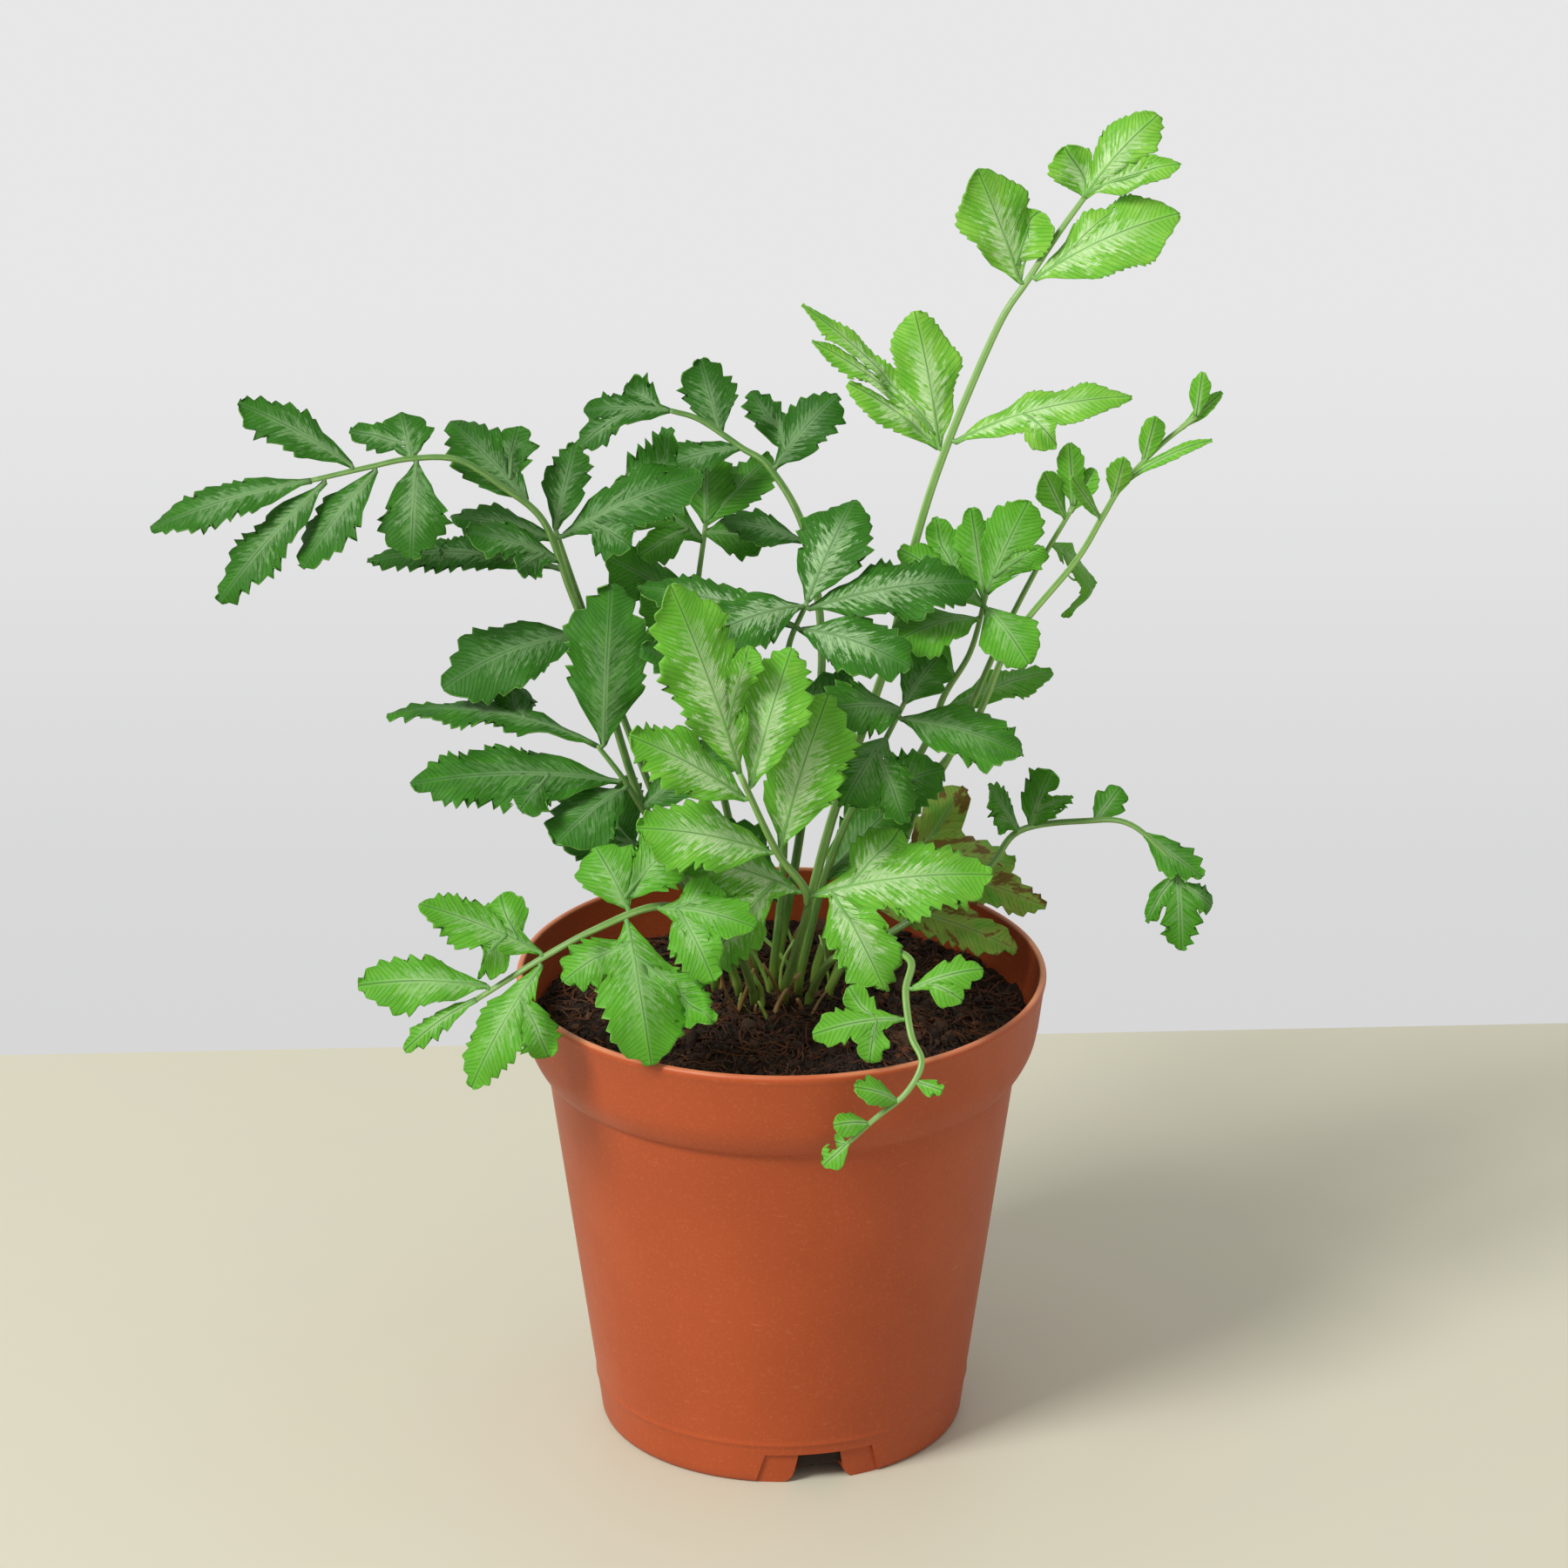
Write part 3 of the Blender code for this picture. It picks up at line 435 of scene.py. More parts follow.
     [(None, 4, (-77, -4, 152), 11, 25, 0.1, [(0.35, (-54, 4, 156), 9)]),
      (None, 2.2, (-9, 4, 143), 13, 0, 0.06, []),
      ("up", 3.9, (-33, -4, 179), 17, 0, 0.06, []),
      ("low_left", 3, (-72, -18, 143), 14, 0, 0.08, [(0.35, (-51, -20, 137), 10)]),
      ("low", 2.8, (-44, -20, 131), 15, 0, 0.1, [])]),
    ("low_back", 0.85,
     [(-9, 18, 88.5), (-14, 17, 98), (-21, 15, 109), (-28, 12, 117)],
     [(None, 3, (-46, 12, 122), 14, 0, 0.08, [(0.1, (-41, 14, 108), 11), (0.1, (-34, 11, 133), 11)])]),
    ("mid_back", 0.9,
     [(-5, 16, 88.5), (-10, 18, 118), (-16, 22, 145), (-17, 26, 162), (-15, 30, 179)],
     [(None, 4, (-15, 38, 193), 12, 0, 0.06, []),
      (None, 4, (-2, 42, 189), 11, 0, 0.06, []),
      (None, 3.9, (-2, 27, 177), 11, 0, 0.06, []),
      (None, 3.8, (-33, 26, 189), 12, 0, 0.06, [(0.2, (-28, 22, 175), 9)]),
      (None, 3.0, (-35, 22, 175), 13, 0, 0.06, []),
      (None, 2.4, (-27, 20, 170), 12, 0, 0.06, []),
      (None, 2.0, (-6, 27, 165), 12, 0, 0.06, [])]),
    ("mid_right", 0.9,
     [(3, 7, 88.5), (9, -2, 118), (17, -6, 140), (24, -8, 156)],
     [(None, 3, (31, 2, 162), 11, 0, 0.06, []),
      (None, 2.9, (8, -20, 159), 13, 0, 0.08, []),
      (None, 1.7, (32, 2, 138), 13, 0, 0.06, []),
      (None, 0.9, (24, 4, 131), 13, 0, 0.06, []),
      ("right", 2.8, (47, -13, 147), 15, 0, 0.1, []),
      ("low", 2.5, (12, -22, 140), 15, 0, 0.1, [(0.25, (24, -19, 135), 10)])]),
    ("back_right", 0.9,
     [(12, 15, 88.5), (14, 17, 97), (19, 20, 105), (23, 24, 110)],
     [(None, 3, (47, 27, 107), 13, 0, 0.08, [(0.15, (37, 31, 122), 11)]),
      (None, 2.8, (53, 17, 102), 9, 0, 0.08, []),
      (None, 1.6, (47, 9, 96), 9, 0, 0.1, [])]),
]


def unit(vector):
    return vector / np.linalg.norm(vector)


def smoothstep(value):
    value = np.clip(value, 0.0, 1.0)
    return value * value * (3.0 - 2.0 * value)


def new_object(name, mesh, *materials):
    obj = bpy.data.objects.new(name, mesh)
    bpy.context.scene.collection.objects.link(obj)
    for material in materials:
        mesh.materials.append(material)
    return obj


def piece(name, mesh, slot, node, *materials):
    """A visible piece of the plant or pot, standing for one CAD node."""
    obj = new_object(name, mesh, *materials)
    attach(obj, "root")
    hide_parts(node)


class Surface:
    """Vertices, faces and vertex attributes gathered for one mesh, in millimetres."""

    def __init__(self):
        self.points = []
        self.faces = []
        self.face_materials = []
        self.attributes = {}
        self.count = 0

    def add(self, points, faces, material=0, **attributes):
        points = np.asarray(points, float).reshape(-1, 3)
        self.points.append(points)
        self.add_faces((np.asarray(faces) + self.count).tolist(), material)
        for name, values in attributes.items():
            values = np.broadcast_to(np.asarray(values, float), (len(points), 3))
            self.attributes.setdefault(name, []).append((self.count, values))
        self.count += len(points)

    def add_faces(self, faces, material=0):
        """Faces between vertices that are already here."""
        self.faces += faces
        self.face_materials += [material] * len(faces)

    def mesh(self, name, smooth=True):
        mesh = bpy.data.meshes.new(name)
        mesh.from_pydata((np.vstack(self.points) * MM).tolist(), [], self.faces)
        for attribute_name, values in self.attributes.items():
            attribute = mesh.attributes.new(attribute_name, "FLOAT_VECTOR", "POINT")
            full = np.zeros((self.count, 3))
            for start, rows in values:
                full[start:start + len(rows)] = rows
            attribute.data.foreach_set("vector", full.ravel())
        mesh.polygons.foreach_set("material_index", self.face_materials)
        mesh.polygons.foreach_set("use_smooth", [smooth] * len(self.faces))
        mesh.validate()
        return mesh


def grid_faces(rows, columns, wrap=False):
    """Quads of a grid of vertices. With wrap the last column joins the first."""
    index = np.arange(rows * columns).reshape(rows, columns)
    if wrap:
        index = np.hstack([index, index[:, :1]])
    return np.stack([index[:-1, :-1], index[:-1, 1:], index[1:, 1:], index[1:, :-1]], axis=-1).reshape(-1, 4)


def drum_faces(rows, sides):
    """Faces of a stack of rings, closed at both ends."""
    last = (rows - 1) * sides
    ends = [list(range(sides))[::-1], list(range(last, last + sides))]
    return grid_faces(rows, sides, wrap=True).tolist() + ends


def stem_places(points, places):
    """Points on the smooth curve through a stem's points, at places counted in points."""
    points = np.asarray(points, float)
    padded = np.vstack([2 * points[0] - points[1], points, 2 * points[-1] - points[-2]])
    found = []
    for place in places:
        start = min(int(place), len(points) - 2)
        share = place - start
        before, first, second, after = padded[start:start + 4]
        found.append(
            first
            + 0.5 * share * (second - before)
            + 0.5 * share**2 * (2 * before - 5 * first + 4 * second - after)
            + 0.5 * share**3 * (3 * first - before - 3 * second + after))
    return np.array(found)


def stem_radius(base_radius, place, count):
    """A stem thins steadily to its end."""
    return base_radius * (1.0 - STEM_TAPER * place / (count - 1))


def add_tube(surface, path, radii, sides, groove, material=0, **attributes):
    """A closed tube along a path, grooved along its upper side.

    Its attribute tube_place holds the distance along it, how near a vertex is to the groove, and the share of
    its length.
    """
    path = np.asarray(path, float)
    tangents = np.gradient(path, axis=0)
    tangents /= np.linalg.norm(tangents, axis=1)[:, None]
    facing = BLADE_FACING - (tangents @ BLADE_FACING)[:, None] * tangents
    facing /= np.linalg.norm(facing, axis=1)[:, None]
    sideways = np.cross(tangents, facing)
    angles = np.arange(sides) * math.tau / sides
    dip = 1.0 - groove * np.exp(-((np.minimum(angles, math.tau - angles) / GROOVE_ANGLE) ** 2))
    up = (dip * np.cos(angles))[None, :, None] * facing[:, None]
    aside = (dip * np.sin(angles))[None, :, None] * sideways[:, None]
    rings = path[:, None] + np.asarray(radii)[:, None, None] * (up + aside)
    distance = np.concatenate([[0.0], np.cumsum(np.linalg.norm(np.diff(path, axis=0), axis=1))])
    place = np.stack(np.broadcast_arrays(
        distance[:, None], np.cos(angles)[None], (distance / distance[-1])[:, None]), axis=-1)
    rows = len(path)
    points = np.vstack([rings.reshape(-1, 3), path[:1], path[-1:]])
    places = np.vstack([place.reshape(-1, 3), place[0, 0], place[-1, 0]])
    surface.add(points, grid_faces(rows, sides, wrap=True), material, tube_place=places, **attributes)
    first, last = surface.count - 2, surface.count - 1
    start = first - rows * sides
    end = start + (rows - 1) * sides
    for side in range(sides):
        beside = (side + 1) % sides
        caps = [[first, start + beside, start + side], [last, end + side, end + beside]]
        surface.add_faces(caps, material)


class Blade:
    """One leaflet or lobe. Its own coordinates run along the midrib, across it and out of its upper face."""

    def __init__(self, base, tip, width, roll, arch, seed):
        self.base = np.asarray(base, float)
        reach = np.asarray(tip, float) - self.base
        self.length = np.linalg.norm(reach)
        self.along = reach / self.length
        face = unit(BLADE_FACING - BLADE_FACING.dot(self.along) * self.along)
        angle = math.radians(roll)
        self.face = face * math.cos(angle) + np.cross(self.along, face) * math.sin(angle)
        self.across = np.cross(self.along, self.face)
        self.width = width
        self.bow = arch * self.length
        self.seed = seed
        self.rng = np.random.default_rng(seed)
        self.phases = self.rng.uniform(0.0, math.tau, 2)
        self.twist = self.rng.uniform(-MOST_TWIST, MOST_TWIST)
        self.parent = None

    def half_width(self, share):
        """Narrow at the stalk, widest past the middle, round at the tip."""
        share = np.clip(share, 0.0, 1.0)
        full = self.width / 2 * (share / WIDEST) ** BASE_POWER * ((1.0 - share) / (1.0 - WIDEST)) ** TIP_POWER
        return np.maximum(full, np.where(share < 0.5, STALK_HALF_WIDTH, TIP_HALF_WIDTH))

    def bowed(self, share):
        """How far the midrib stands out at a share of its length."""
        return self.bow * 4 * share * (1 - share)

    def midrib_point(self, share):
        return self.base + share * self.length * self.along + self.bowed(share) * self.face

    def height(self, x, y):
        """How far the upper face stands out: the midrib's bow, the fold along it, waves and twist."""
        share = np.clip(x / self.length, 0.0, 1.0)
        out = np.minimum(np.abs(y) / self.half_width(share), MOST_OUT)
        fold = FOLD * (np.sqrt(y**2 + FOLD_ROUND**2) - FOLD_ROUND)
        phase = np.where(y < 0, *self.phases)
        wave = WAVE_SHARE * self.width * out**2 * np.sin(math.tau * x / WAVE_LENGTH + phase)
        foot = x - VEIN_LEAN * np.abs(y)
        quilt = QUILT_HEIGHT * out * (1 - out) * 4 * np.sin(math.tau * foot / QUILT_LENGTH)
        ridge = RIDGE_HEIGHT * np.exp(-((np.abs(y) - RIDGE_PLACE) / RIDGE_WIDTH) ** 2) * (1 - share)
        twist = self.twist * y * share
        return self.bowed(share) - fold + wave * np.minimum(share * 4, 1) + quilt + ridge + twist

    def local(self, points):
        away = np.asarray(points) - self.base
        return away @ self.along, away @ self.across, away @ self.face

    def world(self, x, y, height):
        return (self.base + x[..., None] * self.along + y[..., None] * self.across
                + height[..., None] * self.face)

    def nearness(self, points):
        """How far out from the midrib each point is, 0 to 1, or NOT_COVERED where the blade doesn't reach."""
        x, y, height = self.local(points)
        share = x / self.length
        out = np.abs(y) / self.half_width(share)
        close = np.abs(height - self.height(x, y)) < COVER_HEIGHT
        covered = (share > 0.02) & (share < 0.99) & (out < 1.0) & close
        return np.where(covered, out, NOT_COVERED)

    def margin(self, spacing, depth):
        """Shares along the margin, and how much the teeth take off its left and right side there."""
        plain_rows = max(4, int(self.length * TOOTH_START / PLAIN_ROW_STEP))
        shares = list(np.linspace(0.0, TOOTH_START, plain_rows)[:-1])
        cuts = [(0.0, 0.0)] * len(shares)
        at = TOOTH_START
        while at < TOOTH_END:
            step = spacing / self.length * self.rng.uniform(*TOOTH_STEP_SPREAD)
            room = min(1.0, (at - TOOTH_START) / 0.2 + 0.3) * min(1.0, self.half_width(at) / 2.5)
            depths = depth * room * self.rng.uniform(*TOOTH_DEPTH_SPREAD, 2)
            for share, cut in TOOTH_PROFILE:
                shares.append(at + min(step, 1.0 - at) * share)
                cuts.append(tuple(depths * cut))
            at += step
        return np.array(shares + [1.0]), np.array(cuts + [(0.0, 0.0)])

    def grid(self, spacing, depth):
        """Rows that follow the side veins out to the toothed margin.

        Returns x, y, the share of the half width and where the vein starts on the midrib, for each vertex.
        """
        shares, cuts = self.margin(spacing, depth)
        width = self.half_width(shares)
        lean = smoothstep(shares / 0.12) * smoothstep((1.0 - shares) / 0.15)
        foot = np.maximum.accumulate(shares * self.length - VEIN_LEAN * width * lean)
        foot = np.clip(foot, 0.0, self.length)
        ridge = np.minimum(0.3, 0.12 * width)
        groove_edge = np.minimum(0.7, 0.3 * width)
        half = [0.0 * width, ridge, groove_edge]
        half += [groove_edge + (width - groove_edge) * share for share in COLUMN_SHARES]
        half = np.stack(half, axis=1)
        columns = []
        for side in (0, 1):
            swell = np.sin(shares * self.length * math.tau / SWELL_LENGTH + self.phases[side] * 2)
            stretch = 1.0 + SWELL_SHARE * swell * smoothstep(shares / 0.35)
            near_margin = np.clip((half / width[:, None] - TOOTH_INSIDE) / (1.0 - TOOTH_INSIDE), 0.0, 1.0)
            bite = cuts[:, side:side + 1] * near_margin
            columns.append(np.maximum(half * stretch[:, None] - bite, 0.15 * half))
        y = np.hstack([-columns[0][:, :0:-1], columns[1]])
        out = np.hstack([half[:, :0:-1], half]) / width[:, None]
        x = foot[:, None] + (shares * self.length - foot)[:, None] * out
        return x, y, out, np.broadcast_to(foot[:, None], x.shape)


def blade_points(blade, x, y):
    """Vertices of a blade. A lobe lies just under its parent where they cover each other."""
    height = blade.height(x, y)
    points = blade.world(x, y, height)
    if blade.parent is None:
        return points
    parent = blade.parent
    px, py, ph = parent.local(points)
    share = px / parent.length
    beyond = np.maximum(np.abs(py) - parent.half_width(share), 0.0)
    beyond = np.maximum(beyond, np.maximum(px - parent.length, -px))
    weight = smoothstep(beyond / LOBE_FREE_AFTER)
    flush = parent.height(px, py) - LOBE_BELOW
    return parent.world(px, py, flush + (ph - flush) * weight)


def add_blade(surface, blade, others, look):
    """Adds one blade, leaving out the faces that belong to a lobe's side of their shared boundary."""
    age, silver, brown, spacing, depth = look
    x, y, out, foot = blade.grid(spacing, depth)
    flat = blade_points(blade, x, y).reshape(-1, 3)
    faces = grid_faces(*x.shape)
    if others:
        centres = flat[faces].mean(axis=1)
        own = blade.nearness(centres)
        rival = np.min([other.nearness(centres) for other in others], axis=0)
        faces = faces[~((rival < own - LOBE_OVERLAP) & (own < NOT_COVERED - 1.0))]
    place = np.stack([foot, y, np.full(x.shape, blade.seed * SEED_STEP)], axis=-1).reshape(-1, 3)
    shares = np.stack([foot / blade.length, out, out * 0.0], axis=-1).reshape(-1, 3)
    surface.add(flat, faces, blade_place=place, blade_share=shares, blade_tone=(age, silver, brown))


def rib_of(blade, root):
    """Path and radii of the rib under a blade. With a root it starts inside the stem."""
    rib = np.linspace(0.0, RIB_REACH, RIB_POINTS) * blade.length
    path = blade_points(blade, rib, rib * 0.0) - blade.face * RIB_DEPTH
    start_radius = min(RIB_MOST_RADIUS, blade.width * RIB_WIDTH_SHARE + RIB_LEAST_RADIUS)
    radii = np.linspace(start_radius, RIB_TIP_RADIUS, RIB_POINTS)
    if root is None:
        return path, radii
    return np.vstack([root, path]), np.append(radii[:1], radii)


def blades_of(leaf, base, seed):
    """A leaflet's main blade and its lobes."""
    tip, width, roll, arch, lobes = leaf
    main = Blade(base, tip, width, roll, arch, seed)
    blades = [main]
    for index, (share, lobe_tip, lobe_width) in enumerate(lobes):
        lobe = Blade(main.midrib_point(share), lobe_tip, lobe_width, roll, arch, seed + index + 1)
        lobe.parent = main
        blades.append(lobe)
    return blades


def solid_leaf(name, leaves, look):
    """One mesh for some leaflets: thin solid sheets with ribs beneath."""
    sheets = Surface()
    ribs = Surface()
    for leaf, base, root, seed in leaves:
        blades = blades_of(leaf, base, seed)
        for blade in blades:
            add_blade(sheets, blade, [other for other in blades if other is not blade], look)
            path, radii = rib_of(blade, root if blade is blades[0] else None)
            add_tube(ribs, path, radii, RIB_SIDES, 0.0, 1, blade_place=(0, 0, seed), blade_share=(0, 0, 0),
                     blade_tone=look[:3])
    obj = new_object(name + "_sheet", sheets.mesh(name + "_sheet"))
    solidify = obj.modifiers.new("thickness", "SOLIDIFY")
    solidify.thickness = SHEET_THICKNESS * MM
    solidify.offset = -1.0
    solidify.material_offset = 1
    solidify.use_rim = True
    graph = bpy.context.evaluated_depsgraph_get()
    bm = bmesh.new()
    bm.from_mesh(obj.evaluated_get(graph).to_mesh())
    bm.from_mesh(ribs.mesh(name + "_ribs"))
    bpy.data.objects.remove(obj, do_unlink=True)
    mesh = bpy.data.meshes.new(name)
    bm.to_mesh(mesh)
    bm.free()
    return mesh


def beside_stem(points, at, tip, base_radius):
    """Where a leaflet starts, just clear of the stem on the side its tip lies."""
    centre, ahead = stem_places(points, [at, min(at + STEM_LOOK_AHEAD, len(points) - 1)])
    centre_to_tip = np.asarray(tip, float) - centre
    if np.allclose(ahead, centre):
        return centre + unit(centre_to_tip) * (base_radius + AT_STEM_END)
    tangent = unit(ahead - centre)
    outward = unit(centre_to_tip - centre_to_tip.dot(tangent) * tangent)
    return centre + outward * (stem_radius(base_radius, at, len(points)) + BESIDE_STEM)


def build_stem(frond_name, base_radius, points):
    count = len(points)
    places = np.linspace(0.0, count - 1.0, (count - 1) * STEM_STEPS + 1)
    surface = Surface()
    path = stem_places(points, places)
    path[0, 2] -= STEM_BURIED
    radii = [stem_radius(base_radius, place, count) for place in places]
    age, silver = FROND_LOOKS[frond_name][:2]
    add_tube(surface, path, radii, STEM_SIDES, STEM_GROOVE, blade_tone=(age, silver, 0.0))
    name = f"{frond_name}_stem"
    piece(name + "_stalk", surface.mesh(name + "_stalk"), "stem", name, STEM_MATERIAL)


def build_frond(number, frond_name, base_radius, points, leaflets):
    build_stem(frond_name, base_radius, points)
    look = FROND_LOOKS[frond_name]
    grown = []
    for index, (leaf_name, at, *leaf) in enumerate(leaflets):
        seed = number * 100 + index * 6 + 1
        centre = stem_places(points, [at])[0]
        if leaf_name is None:
            grown.append((leaf, centre, None, seed))
            continue
        node = f"{frond_name}_leaf_{leaf_name}"
        base = beside_stem(points, at, leaf[0], base_radius)
        mesh = solid_leaf(node + "_blade", [(leaf, base, centre, seed)], look)
        piece(node + "_blade", mesh, "leaf", node, LEAF_MATERIAL, UNDERSIDE_MATERIAL)
    mesh = solid_leaf(f"{frond_name}_grown_blades", grown, look)
    piece(f"{frond_name}_grown_blades", mesh, "leaf", f"{frond_name}_stem", LEAF_MATERIAL, UNDERSIDE_MATERIAL)


def body_radius(height):
    """Outer radius of the tapered pot body."""
    return FOOT_RADIUS + (BODY_TOP_RADIUS - FOOT_RADIUS) * height / SHOULDER


def placed(curve, radius, height):
    """The points of a curve that starts from this radius and height."""
    return [(radius + out, height + rise) for out, rise in curve]


def rounded(points, steps=4):
    """A smooth line through points."""
    places = np.linspace(0.0, len(points) - 1.0, (len(points) - 1) * steps + 1)
    return [tuple(place[:2]) for place in stem_places([(*point, 0.0) for point in points], places)]


def inner_wall(clearance):
    """Inside of the wall from the floor to the collar, pulled in by a clearance."""
    inset = WALL + clearance
    floor = (body_radius(FLOOR_TOP) - inset, FLOOR_TOP + clearance)
    neck = placed([INNER_NECK], BODY_TOP_RADIUS - inset, SHOULDER)
    return [floor] + neck + placed(INNER_COLLAR, COLLAR_FOOT_RADIUS - inset, SHOULDER)


def pot_profile():
    """Half section: floor, inner wall, lip, collar, shoulder, body with its raised line, and underside."""
    inner = inner_wall(0.0) + placed([INNER_LIP], RIM_RADIUS, POT_HEIGHT)
    lip = rounded(placed(LIP_CURVE, RIM_RADIUS, POT_HEIGHT))
    collar = placed(COLLAR_CURVE, COLLAR_FOOT_RADIUS, SHOULDER)
    neck = placed(NECK_CURVE, BODY_TOP_RADIUS, SHOULDER)
    line_wall = [(body_radius(LINE_HEIGHT + rise), LINE_HEIGHT + rise) for rise in LINE_WALL_RISES]
    line_top = [(body_radius(LINE_HEIGHT) + LINE_RAISE, LINE_HEIGHT + rise) for rise in LINE_TOP_RISES]
    foot_wall = [(body_radius(height), height) for height in FOOT_WALL_HEIGHTS]
    disc = [(CENTRE_DISC_RADIUS + CENTRE_DISC_SLOPE, RING_UNDERSIDE), (CENTRE_DISC_RADIUS, 0.0),
            (NEAR_AXIS, 0.0)]
    body = line_wall[:2] + line_top + line_wall[2:] + foot_wall
    outside = lip + rounded(collar + neck) + body + placed(FOOT_CURVE, FOOT_RADIUS, 0.0) + disc
    return [(NEAR_AXIS, FLOOR_TOP)] + inner + outside


def turned(radius, degrees, height):
    """A point round the pot, from the front at -Y towards +X."""
    angle = math.radians(degrees)
    return Vector((radius * math.sin(angle), -radius * math.cos(angle), height)) * MM


def turned_surface(profile, sides):
    """A closed surface of revolution. The first and last profile points are close to the axis."""
    profile = np.asarray(profile, float)
    angles = np.arange(sides) * math.tau / sides
    radius, height = profile[:, 0][:, None], profile[:, 1][:, None]
    rings = np.stack([radius * np.sin(angles), -radius * np.cos(angles), height + 0.0 * angles], axis=-1)
    surface = Surface()
    surface.add(rings, [])
    surface.add_faces(drum_faces(len(profile), sides))
    return surface


def cutter(name, bm):
    bmesh.ops.recalc_face_normals(bm, faces=bm.faces)
    mesh = bpy.data.meshes.new(name)
    bm.to_mesh(mesh)
    bm.free()
    return new_object(name, mesh)


def prism(name, first_edge, second_edge, near, far):
    """Closes the strip between two edges, (degrees round the pot, height), into a solid from near to far."""
    bm = bmesh.new()
    sheets = []
    for radius in (near, far):
        sheets.append([
            [bm.verts.new(turned(radius(height), degrees, height)) for degrees, height in edge]
            for edge in (first_edge, second_edge)])
    last = len(first_edge) - 1
    for first_row, second_row in sheets:
        for index in range(last):
            bm.faces.new([first_row[index], first_row[index + 1], second_row[index + 1], second_row[index]])
    for near_row, far_row in zip(*sheets):
        for index in range(last):
            bm.faces.new([near_row[index], far_row[index], far_row[index + 1], near_row[index + 1]])
    for end in (0, last):
        bm.faces.new([sheets[0][0][end], sheets[0][1][end], sheets[1][1][end], sheets[1][0][end]])
    return cutter(name, bm)


def slot_degrees(sideways):
    """Where round the pot a point lies that is so far to the side of the slot's middle."""
    return SLOT_ANGLE + math.degrees(sideways / FOOT_RADIUS)


def beyond_foot(height):
    return FOOT_RADIUS + CUT_MARGIN


def notch_cutter():
    right = [(slot_degrees(half), height) for half, height in NOTCH_OUTLINE]
    left = [(slot_degrees(-half), height) for half, height in NOTCH_OUTLINE]
    return prism("notch_cutter", right, left, lambda height: FOOT_RADIUS - NOTCH_REACH, beyond_foot)


def panel_cutter():
    steps = np.linspace(-0.5, 0.5, PANEL_STEPS)
    top = [(slot_degrees(step * PANEL_TOP_WIDTH), PANEL_HEIGHT) for step in steps]
    foot = [(slot_degrees(step * PANEL_FOOT_WIDTH), -CUT_BELOW) for step in steps]
    return prism("panel_cutter", top, foot, lambda height: body_radius(height) - PANEL_DEPTH, beyond_foot)


def drain_cutter(index):
    bm = bmesh.new()
    radius = DRAIN_RADIUS * MM
    bmesh.ops.create_cone(bm, cap_ends=True, segments=DRAIN_SIDES, radius1=radius, radius2=radius,
                          depth=4 * FLOOR_TOP * MM)
    degrees = SLOT_ANGLE + (index + 0.5) * 360.0 / DRAIN_COUNT
    bmesh.ops.translate(bm, verts=bm.verts, vec=turned(DRAIN_RING_RADIUS, degrees, FLOOR_TOP))
    return cutter(f"drain_cutter_{index}", bm)


def build_pot():
    blank = new_object("pot_blank", turned_surface(pot_profile(), POT_SIDES).mesh("pot_blank"))
    cutters = [panel_cutter(), notch_cutter()] + [drain_cutter(index) for index in range(DRAIN_COUNT)]
    for other in cutters:
        modifier = blank.modifiers.new(other.name, "BOOLEAN")
        modifier.operation = "DIFFERENCE"
        modifier.solver = "EXACT"
        modifier.object = other
    graph = bpy.context.evaluated_depsgraph_get()
    mesh = bpy.data.meshes.new_from_object(blank.evaluated_get(graph))
    for obj in [blank] + cutters:
        bpy.data.objects.remove(obj, do_unlink=True)
    mesh.materials.clear()
    mesh.name = "pot_shell"
    mesh.shade_smooth()
    mesh.set_sharp_from_angle(angle=math.radians(SHARP_ANGLE))
    piece("pot_shell", mesh, "pot_plastic", "pot", POT_MATERIAL)


def rumple(x, y, rng):
    """Gently uneven ground: waves of several lengths in random directions."""
    total = 0.0 * x
    for length, height in WAVES:
        for _ in range(WAVES_OF_A_LENGTH):
            angle, phase = rng.uniform(0.0, math.tau, 2)
            along = x * math.cos(angle) + y * math.sin(angle)
            total = total + height * np.sin(along * math.tau / length + phase)
    return total


def soil_level(x, y):
    """Height of the peat: nearly flat round the crown and lower at the wall."""
    share = (np.hypot(x, y) - SOIL_CROWN_RADIUS) / (SOIL_EDGE_RADIUS - SOIL_CROWN_RADIUS)
    mound = SOIL_TOP - (SOIL_TOP - SOIL_EDGE) * smoothstep(share)
    return mound - SOIL_SINK + rumple(x, y, np.random.default_rng(GROUND_SEED))


def random_turns(rng, count):
    """Rotation matrices pointing anywhere."""
    a, b, c, d = rng.normal(size=(4, count))
    norm = np.sqrt(a * a + b * b + c * c + d * d)
    a, b, c, d = a / norm, b / norm, c / norm, d / norm
    return np.stack([
        1 - 2 * (c * c + d * d), 2 * (b * c - a * d), 2 * (b * d + a * c),
        2 * (b * c + a * d), 1 - 2 * (b * b + d * d), 2 * (c * d - a * b),
        2 * (b * d - a * c), 2 * (c * d + a * b), 1 - 2 * (b * b + c * c)], axis=-1).reshape(count, 3, 3)


def ball(subdivisions):
    bm = bmesh.new()
    bmesh.ops.create_icosphere(bm, subdivisions=subdivisions, radius=1.0)
    points = np.array([vert.co[:] for vert in bm.verts])
    faces = np.array([[vert.index for vert in face.verts] for face in bm.faces])
    bm.free()
    return points, faces


def scatter(rng, count):
    """Places on the peat, spread evenly over its disc."""
    radius = SCATTER_RADIUS * np.sqrt(rng.uniform(0.0, 1.0, count))
    angle = rng.uniform(0.0, math.tau, count)
    return radius * np.cos(angle), radius * np.sin(angle)


